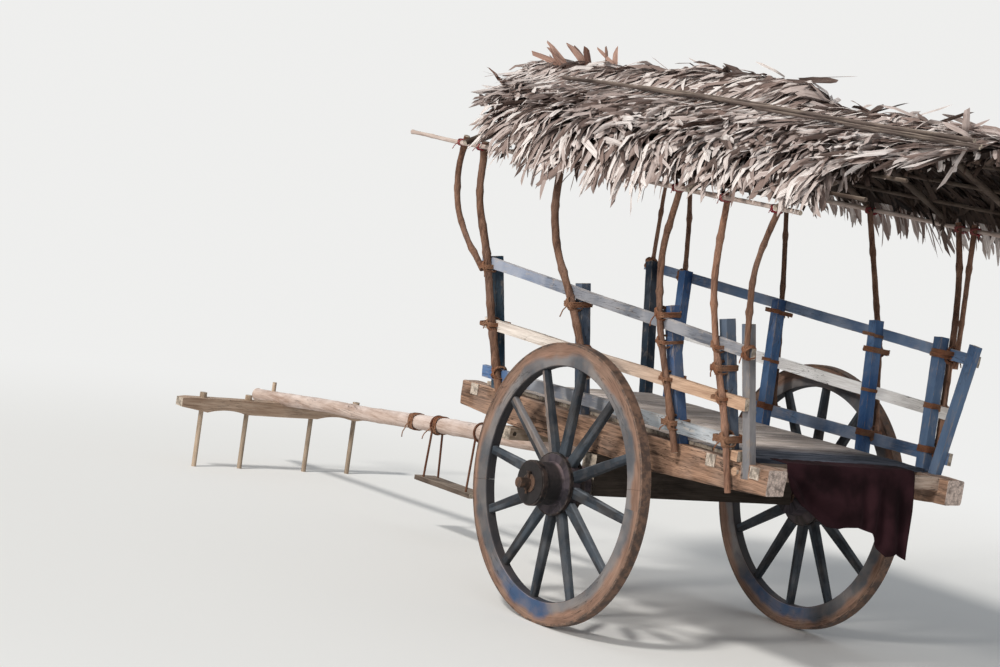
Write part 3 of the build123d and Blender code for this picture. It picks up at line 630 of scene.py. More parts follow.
def weathered(seed, node, name, axis, step, rough, side_step, bend=0.0, knots=0.0):
    """A hand-worked copy of a packed timber that stands for it: cut into short lengths, then worn,
    bent a little and knotted."""
    packed = frame["nodes"][node]
    bm = bmesh.new()
    bm.from_mesh(packed.data)
    bmesh.ops.remove_doubles(bm, verts=bm.verts, dist=0.0002)
    bmesh.ops.dissolve_limit(bm, angle_limit=FLAT_ANGLE, verts=bm.verts, edges=bm.edges)
    low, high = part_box(node)
    cuts = {axis: step}
    if side_step:
        cuts.update({i: side_step for i in range(3) if i != axis})
    for i, size in cuts.items():
        normal = Vector((0, 0, 0))
        normal[i] = 1
        count = int((high[i] - low[i]) / size)
        for k in range(1, count + 1):
            place = low.copy()
            place[i] += k * (high[i] - low[i]) / (count + 1)
            whole = bm.verts[:] + bm.edges[:] + bm.faces[:]
            bmesh.ops.bisect_plane(bm, geom=whole, plane_co=place, plane_no=normal, dist=0.0001)
    bm.normal_update()
    moves = []
    for vert in bm.verts:
        here = vert.co
        run = here[axis]
        grain = here * WEAR_ACROSS
        grain[axis] = run * WEAR_ALONG
        worn = noise.noise(grain + Vector((seed, 0, 0))) * rough
        worn += noise.noise(here * WEAR_FINE) * rough * FINE_SHARE
        if knots:
            worn += knots * knot_swell(run / KNOT_PITCH + here.y, seed)
        sway = Vector((0, 0, 0))
        if bend:
            sway = noise.noise_vector(Vector((run * SWAY_ALONG, round(here.y, 1), seed))) * bend
            sway[axis] = 0
        moves.append(here + vert.normal * worn + sway)
    for vert, place in zip(bm.verts, moves):
        vert.co = place
    bm.normal_update()
    for edge in bm.edges:
        edge.smooth = edge.calc_face_angle(0.0) < SHARP_ANGLE
    smooth(bm)
    return piece(bm, f"{node}_worn", name, packed["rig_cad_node"])


def piece(bm, title, name, *nodes, slot=None):
    """A bmesh made into a piece of the chassis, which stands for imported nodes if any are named."""
    made = new_object(title, bm, FINISHES[name])
    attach(made, "chassis")
    if nodes:
        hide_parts(*nodes)
    return made


# Palm leaf roof: each slope is laid out flat, x along the roof, y down from the ridge and z above
# the surface, and is then draped over the rafters.

EAVE_HEIGHT, RIDGE_OVER_EAVE = 1.664, 0.563
ROOF_FALL, ROOF_SLOPE, ROOF_FRONT = math.radians(1.4), 24.3, 1.92
# Fall of the surface in degrees, by the distance down from the ridge
ROOF_SECTION = [(-0.1, -ROOF_SLOPE), (0.0, 0.0), (0.1, ROOF_SLOPE), (0.8, ROOF_SLOPE), (0.92, 38),
                (1.06, 62), (1.2, 80), (1.6, 84)]
SECTION_FROM, SECTION_TO, SECTION_STEPS = -0.6, 1.6, 1100
# How far down the leaves hang on each side, by the place along the roof
FRINGE_FRONT = [(0.95, 1.18), (1.2, 1.01), (1.58, 0.82), (1.73, 0.56), (1.86, 0.26), (1.9, 0.0)]
FRINGE = {1: [(-2.1, 0.95), (-1.92, 1.00), (-1.78, 1.1), (-1.5, 1.1), (-1.2, 1.09), (-0.95, 1.14),
              (-0.7, 1.11), (-0.52, 1.14), (-0.42, 1.21), (-0.2, 1.27), (-0.07, 1.2), (0.18, 1.29),
              (0.38, 1.32), (0.53, 1.27), (0.68, 1.22)] + FRINGE_FRONT,
          -1: [(-2.1, 1.1), (-1.9, 1.18), (-1.5, 1.22), (-0.97, 1.26), (-0.82, 1.22), (-0.52, 1.31),
               (-0.12, 1.28), (0.15, 1.25), (0.5, 1.21)] + FRINGE_FRONT}
ROOF_REAR = [(0.0, -2.12), (0.25, -2.12), (0.38, -1.94), (0.46, -1.78), (0.56, -1.64), (0.72, -1.57),
             (0.92, -1.62), (1.02, -1.67), (1.3, -1.68)]
# How the leaves heap up at the ridge or sag there, by the place along the roof
RIDGE_HEAP = [(-2.1, -0.05), (-1.6, -0.045), (-1.25, -0.03), (-0.9, -0.04), (-0.64, -0.02),
              (-0.53, 0.07), (-0.12, 0.08), (0.3, 0.055), (0.73, 0.025), (1.2, 0.005), (1.92, -0.03)]
HEAP_WIDTH = 0.17
# Slant of the leaves in degrees, forward of straight down, above and below the batten
SLANT_HIGH = [(-2.0, 28), (0.0, 20), (1.2, 5), (1.8, -25)]
SLANT_LOW = [(-2.0, -22), (-1.2, -34), (-0.6, -40), (0.0, -34), (0.4, -38), (0.9, -42), (1.6, -48)]
# The batten runs a little lower at its front end: place along the roof, and down from the ridge
BATTEN_DOWN = [(-2.1, 0.318), (-0.2, 0.318), (0.3, 0.328), (0.8, 0.348), (1.25, 0.375)]
# Rows of leaves from the eave up: place of the roots, and length of the leaves
LEAF_ROWS = [(1.02 - 0.092 * i, 0.33 + 0.003 * i) for i in range(13)]
MIDDLE_ROW, LEAF_PITCH, ROW_SPREAD, SHORTEST_HANG, SHORTEST_LEAF = 0.45, 0.0185, 0.038, 0.11, 0.09
# What a leaf is drawn from: share of the pitch and of the length, width, heights of its root and tip
PITCHES, LENGTHS, WIDTHS = (0.4, 1.6), (0.55, 1.15), (0.02, 0.04)
ROOT_HEIGHTS, TIP_RISES, LOOSE_RISE, LEAF_ROLL, STEEPEST = (-0.046, -0.026), (0.016, 0.062), 0.03, 0.45, 0.4
# How far a leaf turns from its slant, in degrees, and where on the slope leaves begin to hang straight
SLANT_SPREAD, LOOSE_SHARE, LOOSE_SLANTS = 7, 0.06, (-50, 50)
HANG_FROM, HANG_OVER, HANG_STRAIGHT = 0.84, 0.16, 0.75
# Leaves lie in panels that share a slant and a lift, and some panels have slipped askew
PANEL_LONG, PANEL_SLANT, PANEL_LIFT, ASKEW_SHARE, ASKEW_SLANTS = (0.08, 0.35), 9, 0.012, 0.15, (20, 50)
UNDER_LEAVES, UNDER_LENGTHS, UNDER_WIDTHS, UNDER_DROOPS = 1500, (0.09, 0.2), (0.018, 0.034), (0.05, 0.45)
GABLE_LEAVES, BROAD_SHARE = 90, 0.3
# Length and width of a leaf strip at the gable, when it is broad and when it is narrow
GABLE_SIZES = {True: ((0.1, 0.15), (0.034, 0.046)), False: ((0.03, 0.09), (0.018, 0.03))}
LEAF_HALF, LEAF_FOLD, TORN_DEPTH = 0.36, 0.16, 0.16
MAT_TOP, MAT_UNDER, MAT_ROUGH, MAT_CELLS = -0.048, -0.082, 0.01, (70, 34)
LEAF_CEILING, CEILING_DROP, PRESSED_WIDTH, PRESSED_DOWN, PRESSED_RISE = 0.06, 0.045, 0.11, -0.016, 0.032
BATTEN_LIFT, BATTEN_THICK = 0.012, 0.017
# A leaf's outline: share of the length, and share of the full width
LEAF_STATIONS = [(0.35, 1.0), (0.8, 0.9)]


def between(table, x):
    """A value read from a table of pairs."""
    return float(np.interp(x, *zip(*sorted(table))))


def leaf_blade(title, bow, twist, sweep, tip, cut):
    """A dry folded leaf strip, one long and one wide, from its root at the origin along Y. Its end is
    blunt or torn: its width there, and how askew it is cut."""
    bm = bmesh.new()
    corners = ((-LEAF_HALF, 0, 0), (0, 0, LEAF_FOLD / 2), (LEAF_HALF, 0, 0))
    ring = list(bm.faces.new([bm.verts.new(place) for place in corners]).edges)
    wide = 2 * LEAF_HALF
    for share, width in LEAF_STATIONS + [(1.0, tip)]:
        made = bmesh.ops.extrude_edge_only(bm, edges=ring)["geom"]
        ring = of_kind(made, bmesh.types.BMEdge)
        for vert in of_kind(made, bmesh.types.BMVert):
            vert.co = (vert.co.x * width / wide, share, vert.co.z * width / wide)
        wide = width
    bmesh.ops.contextual_create(bm, geom=ring)
    unwrap(bm, lambda co: (0.5 if abs(co.x) < 0.01 else 0.5 + math.copysign(0.5, co.x), co.y))
    for vert in bm.verts:
        along_leaf = vert.co.y
        turned = Matrix.Rotation(twist * along_leaf, 3, "Y") @ vert.co
        rise = bow * math.sin(math.pi * along_leaf)
        askew = cut * vert.co.x * (along_leaf > 0.99) * TORN_DEPTH
        vert.co = (turned.x + sweep * along_leaf ** 2, along_leaf + askew, turned.z + rise)
    bmesh.ops.recalc_face_normals(bm, faces=bm.faces)
    mesh = bpy.data.meshes.new(title)
    bm.to_mesh(mesh)
    bm.free()
    return mesh


BLADES = [leaf_blade("blade", *shape) for shape in [
    (0.3, 0.2, 0.3, 0.8, 1.0), (-0.3, -0.4, -0.4, 0.6, -1.2), (0.6, 0.6, -0.1, 0.22, 0.5),
    (0.1, -0.7, 0.5, 0.85, 1.4), (-0.4, 0.3, 0.2, 0.16, -0.4), (0.4, 1.0, -0.7, 0.65, 0.4),
    (0.0, 0.1, 0.0, 0.95, -1.5), (0.2, -0.2, -0.3, 0.4, 1.0)]]


def lay(bm, chance, place, turn, length, width):
    """Adds one leaf with its root at a place, turned by a matrix."""
    leaf = chance.choice(BLADES).copy()
    leaf.transform(Matrix.Translation(place) @ turn @ Matrix.Diagonal((width, length, width, 1)))
    bm.from_mesh(leaf)
    bpy.data.meshes.remove(leaf)


def draped(points, side):
    """Where points of the flat layout lie on one slope of the roof, from the axle's middle."""
    run = np.linspace(SECTION_FROM, SECTION_TO, SECTION_STEPS)
    fall = np.radians(np.interp(run, *zip(*ROOF_SECTION)))
    step = run[1] - run[0]
    out, down = np.cumsum(np.cos(fall)) * step, np.cumsum(np.sin(fall)) * step
    out, down = out - np.interp(0, run, out), down - np.interp(0, run, down)
    x, s, w = points.T
    heap = np.interp(x, *zip(*RIDGE_HEAP)) * np.exp(-(s / HEAP_WIDTH) ** 2)
    w = w + heap * np.clip((w - MAT_UNDER) / (MAT_TOP - MAT_UNDER), 0, 1)
    turn = np.interp(s, run, fall)
    y = np.interp(s, run, out) + w * np.sin(turn)
    z = RIDGE_OVER_EAVE - np.interp(s, run, down) + w * np.cos(turn)
    return np.stack([x * math.cos(ROOF_FALL) - z * math.sin(ROOF_FALL), side * y,
                     EAVE_HEIGHT + x * math.sin(ROOF_FALL) + z * math.cos(ROOF_FALL)], axis=1)


def drape(bm, title, name, side, *nodes):
    """Bends a slope that was laid out flat over its side of the roof."""
    made = piece(bm, title, name, *nodes, slot="thatch")
    mesh = made.data
    flat = np.empty(len(mesh.vertices) * 3)
    mesh.vertices.foreach_get("co", flat)
    bent = draped(flat.reshape(-1, 3), side) + np.array(AXLE)
    mesh.vertices.foreach_set("co", bent.ravel())
    if side < 0:
        mesh.flip_normals()
    mesh.update()
    return made


def leaf_turn(slant, lift, roll):
    """The turn of a leaf: its slant on the roof, the lift of its tip and its roll."""
    return (Matrix.Rotation(-slant, 4, "Z") @ Matrix.Rotation(lift, 4, "X")
            @ Matrix.Rotation(roll, 4, "Y"))


def roof_leaves(side, low, high, seed):
    """The rows of leaves of one slope whose roots lie between two places down the roof."""
    chance = random.Random(seed)
    bm = bmesh.new()
    for root, long in LEAF_ROWS:
        if not low <= root < high:
            continue
        x = between(ROOF_REAR, max(root, 0)) - 0.05
        panel_end, panel_slant, panel_lift = x, 0.0, 0.0
        while x < ROOF_FRONT:
            x += LEAF_PITCH * chance.uniform(*PITCHES)
            if x > panel_end:
                panel_end = x + chance.uniform(*PANEL_LONG)
                panel_slant = chance.gauss(0, PANEL_SLANT)
                panel_slant += (chance.random() < ASKEW_SHARE) * chance.uniform(*ASKEW_SLANTS)
                panel_lift = max(chance.gauss(0, PANEL_LIFT), -0.01)
            s = root + chance.gauss(0, ROW_SPREAD)
            fringe = between(FRINGE[side], x)
            if s > fringe - SHORTEST_HANG or x < between(ROOF_REAR, max(s, 0)):
                continue
            below = held((s - between(BATTEN_DOWN, x) + 0.05) / 0.05)
            slant = between(SLANT_HIGH, x) * (1 - below) + between(SLANT_LOW, x) * below
            hang = held((s - HANG_FROM) / HANG_OVER)
            slant = slant * (1 - HANG_STRAIGHT * hang) + panel_slant + chance.gauss(0, SLANT_SPREAD)
            loose = chance.random() < LOOSE_SHARE
            if loose:
                slant += chance.uniform(*LOOSE_SLANTS)
            slant = math.radians(slant)
            length = long * chance.uniform(*LENGTHS)
            reach = fringe + chance.gauss(0, 0.03) - s
            length = max(min(length, reach / max(math.cos(slant), 0.3)), SHORTEST_LEAF)
            room = max(x - between(ROOF_REAR, s) + chance.uniform(-0.03, 0.02), 0.0)
            slant = max(slant, -math.asin(min(room / length, 1)))
            height = chance.uniform(*ROOT_HEIGHTS)
            rise = chance.uniform(*TIP_RISES) + panel_lift + loose * LOOSE_RISE
            turn = leaf_turn(slant, math.asin(min(rise / length, STEEPEST)), chance.gauss(0, LEAF_ROLL))
            lay(bm, chance, (x, s, height), turn, length, chance.uniform(*WIDTHS))
    return bm


def settle(bm):
    """Presses the leaves down under the batten, and keeps them near the roof."""
    for vert in bm.verts:
        away = (vert.co.y - between(BATTEN_DOWN, vert.co.x)) / PRESSED_WIDTH
        ceiling = LEAF_CEILING - CEILING_DROP * held((vert.co.y - 0.8) / 0.25)
        vert.co.z = min(vert.co.z, ceiling, PRESSED_DOWN + PRESSED_RISE * away ** 2)


def roof_mat(side):
    """The close layer of leaves under the loose ones, coloured near black as painted shade."""
    bm = grid(*MAT_CELLS)
    for vert in bm.verts:
        s = (vert.co.y + 0.5) * 1.06
        rear = between(ROOF_REAR, s) + 0.03
        front = max(x for x, reach in FRINGE[side] if reach > s + 0.1) - 0.05
        vert.co = (rear + (vert.co.x + 0.5) * (front - rear), s + 0.002, MAT_TOP)
        vert.co.z += MAT_ROUGH * noise.noise(Vector((vert.co.x * 9, vert.co.y * 14, side)))
    unwrap(bm, lambda co: (co.x * 30, 0.5 + co.y * 0.5))
    rim = bmesh.ops.extrude_face_region(bm, geom=bm.faces[:])["geom"]
    for vert in of_kind(rim, bmesh.types.BMVert):
        vert.co.z += MAT_UNDER - MAT_TOP
    bmesh.ops.recalc_face_normals(bm, faces=bm.faces)
    return bm


def under_leaves(side, seed):
    """Strips that droop from the underside, coloured dark as painted shade."""
    chance = random.Random(seed)
    bm = bmesh.new()
    for _ in range(UNDER_LEAVES):
        s = chance.uniform(0.03, 1.0)
        x = chance.uniform(between(ROOF_REAR, s) + 0.02, 1.3)
        length = chance.uniform(*UNDER_LENGTHS)
        droop = -chance.uniform(*UNDER_DROOPS) * chance.random()
        turn = leaf_turn(math.radians(chance.gauss(-25, 30)), droop, chance.gauss(0, 0.5))
        if s + length < between(FRINGE[side], x):
            lay(bm, chance, (x, s, MAT_UNDER + 0.004), turn, length, chance.uniform(*UNDER_WIDTHS))
    return bm


def lay_between(bm, chance, base, tip, width):
    """Adds one strip from a point to another."""
    way = tip - base
    turn = way.to_track_quat("Y", "Z").to_matrix().to_4x4()
    turn = turn @ Matrix.Rotation(chance.uniform(-1.2, 1.2), 4, "Y")
    lay(bm, chance, base, turn, way.length, width)


def gable_leaves(side, seed):
    """Leaf strips that hang from the rear edge of one slope."""
    chance = random.Random(seed)
    bm = bmesh.new()
    for i in range(GABLE_LEAVES):
        s = 0.04 + 1.02 * (i + chance.random()) / GABLE_LEAVES
        broad = 0.5 < s < 0.95 and chance.random() < BROAD_SHARE
        edge = np.array([[between(ROOF_REAR, s) + chance.uniform(-0.02, 0.07), s, MAT_UNDER + 0.045]])
        place = Vector(draped(edge, side)[0]) + AXLE
        hang = Vector((chance.gauss(-0.22, 0.16), side * chance.gauss(0.1, 0.16), -1)).normalized()
        length, width = (chance.uniform(*span) for span in GABLE_SIZES[broad])
        lay_between(bm, chance, place, place + hang * length, width)
    return bm


# Broken stalks and loose strips: the place of the base and of the tip, and the width
STALKS = [(1.4, 0.05, 2.2, 1.66, 0.05, 2.358, 0.05), (1.5, 0.12, 2.2, 1.74, 0.13, 2.35, 0.031),
          (1.36, 0.1, 2.17, 1.66, 0.14, 2.3, 0.07), (1.28, 0.02, 2.22, 1.31, 0.02, 2.36, 0.028),
          (1.22, 0, 2.22, 1.27, 0, 2.354, 0.034), (1.16, 0.02, 2.23, 1.39, 0.02, 2.35, 0.022),
          (1.46, 0.02, 2.24, 1.62, 0.02, 2.345, 0.025), (1.87, 0.35, 2.08, 2.02, 0.35, 2.15, 0.028),
          (1.62, 0.4, 1.99, 1.84, 0.4, 2.11, 0.034), (1.44, 0.16, 2.15, 1.6, 0.2, 2.29, 0.042),
          (1.33, 0.08, 2.2, 1.45, 0.04, 2.33, 0.056), (1.55, 0.06, 2.2, 1.86, 0.16, 2.26, 0.048)]
STRIPS = [(-1.84, 0.15, 2.1, -1.81, 0.15, 2.235, 0.04), (-1.28, 0.05, 2.15, -1.62, 0.05, 2.255, 0.014),
          (-0.42, 0.03, 2.3, -0.82, 0.02, 2.338, 0.016), (-2.07, 0.35, 2.05, -1.94, 0.35, 1.85, 0.02),
          (0.25, 0.02, 2.27, 0.55, 0, 2.345, 0.016), (-0.3, 0.02, 2.3, -0.02, 0, 2.362, 0.016),
          (-0.36, 0.06, 2.28, -0.7, 0.04, 2.3, 0.03), (-0.4, 0, 2.29, -0.66, -0.03, 2.318, 0.034),
          (-1.5, 0.05, 2.14, -1.72, 0.03, 2.225, 0.022), (-1.7, 0.1, 2.12, -1.9, 0.06, 2.205, 0.026),
          (-1, 0.05, 2.15, -1.24, 0.02, 2.23, 0.02), (0.62, 0.03, 2.24, 0.84, 0.02, 2.318, 0.02)]
# Second sticks laid along the battens: side, x at the ends, and offset down the slope
DOUBLES = [(1, -0.45, -2.14, 0.034), (1, 0.6, -0.9, -0.024), (1, -1.2, -2.16, 0.062),
           (-1, -0.6, -2.1, 0.03)]


def double_battens():
    """Thin sticks beside the battens, doubled towards the rear."""
    routes = []
    chance = random.Random(8)
    for side, front, rear, below in DOUBLES:
        run = np.linspace(front, rear, 26)
        flat = np.array([[x, between(BATTEN_DOWN, x) + below + chance.gauss(0, 0.002), 0.018] for x in run])
        routes.append([Vector(place) + AXLE for place in draped(flat, side)])
    rope("double_battens", routes, BATTEN_THICK, "batten", slot="thatch")


def loose_pieces():
    """Broken stalks at the front of the ridge, and single strips that stick out elsewhere."""
    chance = random.Random(3)
    for title, table, name in (("broken_stalks", STALKS, "stalk"), ("loose_strips", STRIPS, "palm_leaf")):
        bm = bmesh.new()
        for *ends, width in table:
            lay_between(bm, chance, at(*ends[:3]), at(*ends[3:]), width)
        piece(bm, title, name, slot="thatch")


def thatch(side_name, side, seed):
    """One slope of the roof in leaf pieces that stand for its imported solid."""
    node = f"thatch_{side_name}"
    for part, low, high in (("eave", MIDDLE_ROW, 2.0), ("ridge", -1.0, MIDDLE_ROW)):
        bm = roof_leaves(side, low, high, seed + (part == "ridge"))
        settle(bm)
        drape(bm, f"leaves_{part}_{side_name}", "palm_leaf", side, *([node] if part == "eave" else []))
    drape(roof_mat(side), f"leaf_mat_{side_name}", "palm_mat", side)
    drape(under_leaves(side, seed + 5), f"under_leaves_{side_name}", "palm_under", side)
    piece(gable_leaves(side, seed + 7), f"gable_leaves_{side_name}", "palm_leaf", slot="thatch")


def bend_batten(side_name, side):
    """Lays a batten on the leaves, and lets its front end slip a little down its slope."""
    slope = math.radians(ROOF_SLOPE)
    for vert in WORN[f"thatch_batten_{side_name}"].data.vertices:
        slip = between(BATTEN_DOWN, vert.co.x - AXLE.x) - BATTEN_DOWN[0][1]
        vert.co.y += side * (slip * math.cos(slope) + BATTEN_LIFT * math.sin(slope))
        vert.co.z += BATTEN_LIFT * math.cos(slope) - slip * math.sin(slope)


# Lashings of coir rope and twine

ROPE_SIDES, ROPE_STEPS = 1, 14
AHEAD, LEFT, UP = Vector((1, 0, 0)), Vector((0, 1, 0)), Vector((0, 0, 1))
# How far a rope leans forward for each metre up, in each of the ways it is laid
RACK_LAYS, EAVE_LAYS = (0.62, -0.62), (0.9, -0.9)
# Rack lashings: x and z of the crossing, half height of what is bound, and turns each way
RACK_LASHINGS = {
    "left": [(1.085, 1.035, 0.036, 3), (1.015, 0.716, 0.038, 3), (0.925, 0.45, 0.04, 2),
             (0.262, 0.935, 0.04, 4), (0.15, 0.69, 0.038, 2), (-0.478, 0.99, 0.038, 4),
             (-0.53, 0.85, 0.034, 2), (-0.59, 0.67, 0.038, 2), (-0.655, 0.462, 0.042, 4),
             (-0.945, 0.905, 0.036, 2), (-0.985, 0.8, 0.036, 4), (-1.045, 0.65, 0.038, 2),
             (-1.105, 0.452, 0.042, 5), (-1.195, 0.905, 0.036, 3)],
    "right": [(1.265, 1.085, 0.038, 4), (1.18, 0.757, 0.038, 3), (1.12, 0.45, 0.04, 3),
              (1.593, 1.112, 0.038, 3), (0.34, 1, 0.04, 3), (0.275, 0.722, 0.038, 2),
              (0.222, 0.46, 0.042, 5), (-0.494, 0.985, 0.036, 2), (-0.521, 0.905, 0.036, 4),
              (-0.575, 0.69, 0.036, 2), (-0.642, 0.46, 0.042, 5), (-1.063, 0.96, 0.036, 3),
              (-1.092, 0.695, 0.038, 4), (-1.122, 0.46, 0.042, 5), (-1.1, 0.985, 0.036, 3)],
}
RAIL_THICKNESS, STAKE_WIDE, BESIDE = 0.026, 0.058, 0.07
# Stakes of the racks: place of the foot and the top along the cart, and height over the beam
STAKES = {"left": [(1.02, 1.125, 0.742), (0.21, 0.285, 0.7), (-0.65, -0.495, 0.69), (-1.065, -0.95, 0.688)],
          "right": [(1.29, 1.508, 0.783), (1.06, 1.175, 0.77), (0.2, 0.3, 0.722), (-0.64, -0.52, 0.722),
                    (-1.118, -1.035, 0.708)]}
COIR_THICK, TWINE_THICK, EAVE_POLE_RADIUS = 0.0068, 0.0046, 0.012
# Red twine where the sticks meet the eave poles: places along the roof
EAVE_TIES = {"left": [1.4, 1.215, 0.47, -0.59, -0.97, -1.375], "right": [0.53, -0.18, -0.89, -1.01]}
# Rope wound on the pole: place along it and turns
POLE_ROPES = [(2.46, 5), (2.74, 7)]


def rope(title, routes, thickness, name, slot="rope"):
    """Ropes that follow lists of points, as one closed mesh."""
    curve = bpy.data.curves.new(title, "CURVE")
    curve.dimensions = "3D"
    curve.bevel_depth = thickness / 2
    curve.bevel_resolution = ROPE_SIDES
    curve.use_fill_caps = True
    for route in routes:
        spline = curve.splines.new("POLY")
        spline.points.add(len(route) - 1)
        for point, place in zip(spline.points, route):
            point.co = (*place, 1)
    wire = bpy.data.objects.new(title, curve)
    mesh = bpy.data.meshes.new_from_object(wire)
    bpy.data.objects.remove(wire)
    bm = bmesh.new()
    bm.from_mesh(mesh)
    bpy.data.meshes.remove(mesh)
    bmesh.ops.remove_doubles(bm, verts=bm.verts, dist=0.00005)
    bmesh.ops.recalc_face_normals(bm, faces=bm.faces)
    smooth(bm)
    piece(bm, title, name, slot=slot)


def windings(middle, across, along_rope, drift, half_across, half_along, turns, pitch, chance, square=0.6):
    """Points of a rope wound round a bundle: in the plane of two directions, and drifting along a third."""
    route = []
    start = chance.uniform(0, 2 * math.pi)
    for i in range(int(turns * ROPE_STEPS) + 1):
        angle = start + 2 * math.pi * i / ROPE_STEPS
        c, d = math.cos(angle), math.sin(angle)
        # A squared circle, as a rope lies round a stick and a rail together
        a = math.copysign(abs(c) ** square, c) * half_across
        b = math.copysign(abs(d) ** square, d) * half_along
        shift = pitch * (i / ROPE_STEPS - turns / 2) + chance.gauss(0, pitch * 0.12)
        loose = 1 + chance.uniform(0.0, 0.03)
        route.append(middle + (across * a + along_rope * b) * loose + drift * shift)
    return route


def crossed(middle, outward, upward, lays, half_across, half_along, turns, thickness, chance):
    """Routes of a rope wound round a crossing, once for each way in which it is laid."""
    ways = [((AHEAD * lay + upward).normalized(), (AHEAD - upward * lay).normalized()) for lay in lays]
    return [windings(middle, outward, way, drift, half_across, half_along, turns, thickness * 0.8, chance)
            for way, drift in ways]


def tail(start, outward, chance, length):
    """Points of a loose rope end that stands off and drops."""
    place, way = start.copy(), outward.normalized()
    route = [place.copy()]
    for _ in range(6):
        way = (way + Vector((chance.gauss(0, 0.25), chance.gauss(0, 0.25), -0.28))).normalized()
        place = place + way * length / 6
        route.append(place.copy())
    return route


def middle_of(node, x, z):
    """The middle of a worn stick where it passes a height, and its radius there."""
    near = np.array([v.co for v in WORN[node].data.vertices])
    goal = at(x, 0, z)
    near = near[abs(near[:, 2] - goal.z) < 0.016]
    closest = near[np.argmin(abs(near[:, 0] - goal.x))]
    near = near[abs(near[:, 0] - goal.x) < abs(closest[0] - goal.x) + 0.034]
    return Vector((near.max(axis=0) + near.min(axis=0)) / 2), float(np.ptp(near[:, 0])) / 2


def stake_beside(side, x, z):
    """The place along the cart of the stake that stands next to a crossing, if one does."""
    for foot, top, height in STAKES[side]:
        here = foot + (top - foot) * (z - BEAM_TOP) / (height * math.cos(RACK_LEAN))
        if abs(here - x) < BESIDE:
            return here + AXLE.x
    return None


def rack_lashings():
    """Coir bindings where the bent sticks cross rails and stakes, with loose ends: a band round stick
    and stake where a stake stands by, or else turns laid both ways."""
    routes = []
    chance = random.Random(5)
    for side, x, z, half_high, turns in ((side, *row) for side in SIDES for row in RACK_LASHINGS[side]):
        hand = SIDES[side]
        outward = Vector((0, hand * math.cos(RACK_LEAN), -math.sin(RACK_LEAN)))
        upward = Vector((0, hand * math.sin(RACK_LEAN), math.cos(RACK_LEAN)))
        stick, radius = middle_of(f"roof_sticks_{side}", x, z)
        middle = stick - outward * RAIL_THICKNESS / 2
        half_across = radius + RAIL_THICKNESS / 2 + COIR_THICK * 0.55
        stake = stake_beside(side, stick.x - AXLE.x, z)
        if stake is not None:
            rear = min(stake - STAKE_WIDE / 2, stick.x - radius)
            front = max(stake + STAKE_WIDE / 2, stick.x + radius)
            centre = stick - outward * (RAIL_THICKNESS + STAKE_WIDE) / 2
            centre.x = (rear + front) / 2
            routes.append(windings(centre, outward, AHEAD, upward, half_across + STAKE_WIDE / 2,
                                   (front - rear) / 2 + COIR_THICK * 0.7, turns + 1, COIR_THICK * 0.85,
                                   chance, square=0.3))
        lays = RACK_LAYS if stake is None else RACK_LAYS[:1]
        routes += crossed(middle, outward, upward, lays, half_across, half_high, turns + 1, COIR_THICK,
                          chance)
        for _ in range(turns > 2):
            out = Vector((chance.gauss(0, 0.8), hand * 0.7, chance.gauss(-0.2, 0.5)))
            begin = stick + outward * (radius + COIR_THICK * 0.7)
            routes.append(tail(begin, out, chance, chance.uniform(0.04, 0.085)))
    rope("rack_lashings", routes, COIR_THICK, "coir")


def eave_ties():
    """Red twine that binds the tops of the sticks to the eave poles."""
    routes = []
    chance = random.Random(12)
    for side, x in ((side, x) for side in SIDES for x in EAVE_TIES[side]):
        outward = Vector((0, SIDES[side], 0))
        stick, radius = middle_of(f"roof_sticks_{side}", x, EAVE_HEIGHT - 0.01 + x * math.tan(ROOF_FALL))
        middle = stick + outward * EAVE_POLE_RADIUS + Vector((0, 0, 0.006))
        half_across = radius + EAVE_POLE_RADIUS + TWINE_THICK * 0.9
        routes += crossed(middle, outward, UP, EAVE_LAYS, half_across, 0.022, 3, TWINE_THICK, chance)
        out = Vector((chance.gauss(0, 0.8), outward.y * 0.8, 0.1))
        routes.append(tail(stick + outward * (radius + 0.028), out, chance, chance.uniform(0.03, 0.06)))
    rope("eave_ties", routes, TWINE_THICK, "twine")


def pole_ropes():
    """Rope ends wound round the draught pole near the bed."""
    routes = []
    chance = random.Random(21)
    points = np.array([v.co for v in WORN["pole"].data.vertices])
    for x, turns in POLE_ROPES:
        near = points[abs(points[:, 0] - AXLE.x - x) < 0.06]
        middle = Vector((near.max(axis=0) + near.min(axis=0)) / 2)
        radius = float(np.ptp(near[:, 1])) / 2 + COIR_THICK * 0.6
        routes.append(windings(middle, LEFT, UP, AHEAD, radius, radius, turns, COIR_THICK * 1.1, chance))
        routes.append(tail(middle + LEFT * radius, Vector((0.3, 0.5, -0.4)), chance, 0.12))
    rope("pole_ropes", routes, COIR_THICK, "coir")


# Cloth over the tail bar

CLOTH_FROM_Y, CLOTH_TO_Y = 0.5, -0.365
# How far the cloth hangs below the bar's top, by the place across
CLOTH_HANG = [(0.5, 0.06), (0.46, 0.13), (0.4, 0.2), (0.3, 0.25), (0.22, 0.3), (0.1, 0.315),
              (0.0, 0.3), (-0.1, 0.325), (-0.16, 0.4), (-0.22, 0.445), (-0.3, 0.43), (-0.365, 0.46)]
CLOTH_LAP, CLOTH_THICK, CLOTH_INSIDE, CLOTH_OVER, CLOTH_EDGE = 0.13, 0.002, 0.01, 0.003, 0.012
CLOTH_CELLS = (120, 76)
# Folds: how close they lie and how deep they are, at the gathered left end and on the right
FAN_FOLDS, FAN_DEEP, STRAIGHT_FOLDS, STRAIGHT_DEEP = 17, 0.023, 46, 0.017
SWELL_DEEP, LEAN_BACK = 0.012, 0.028


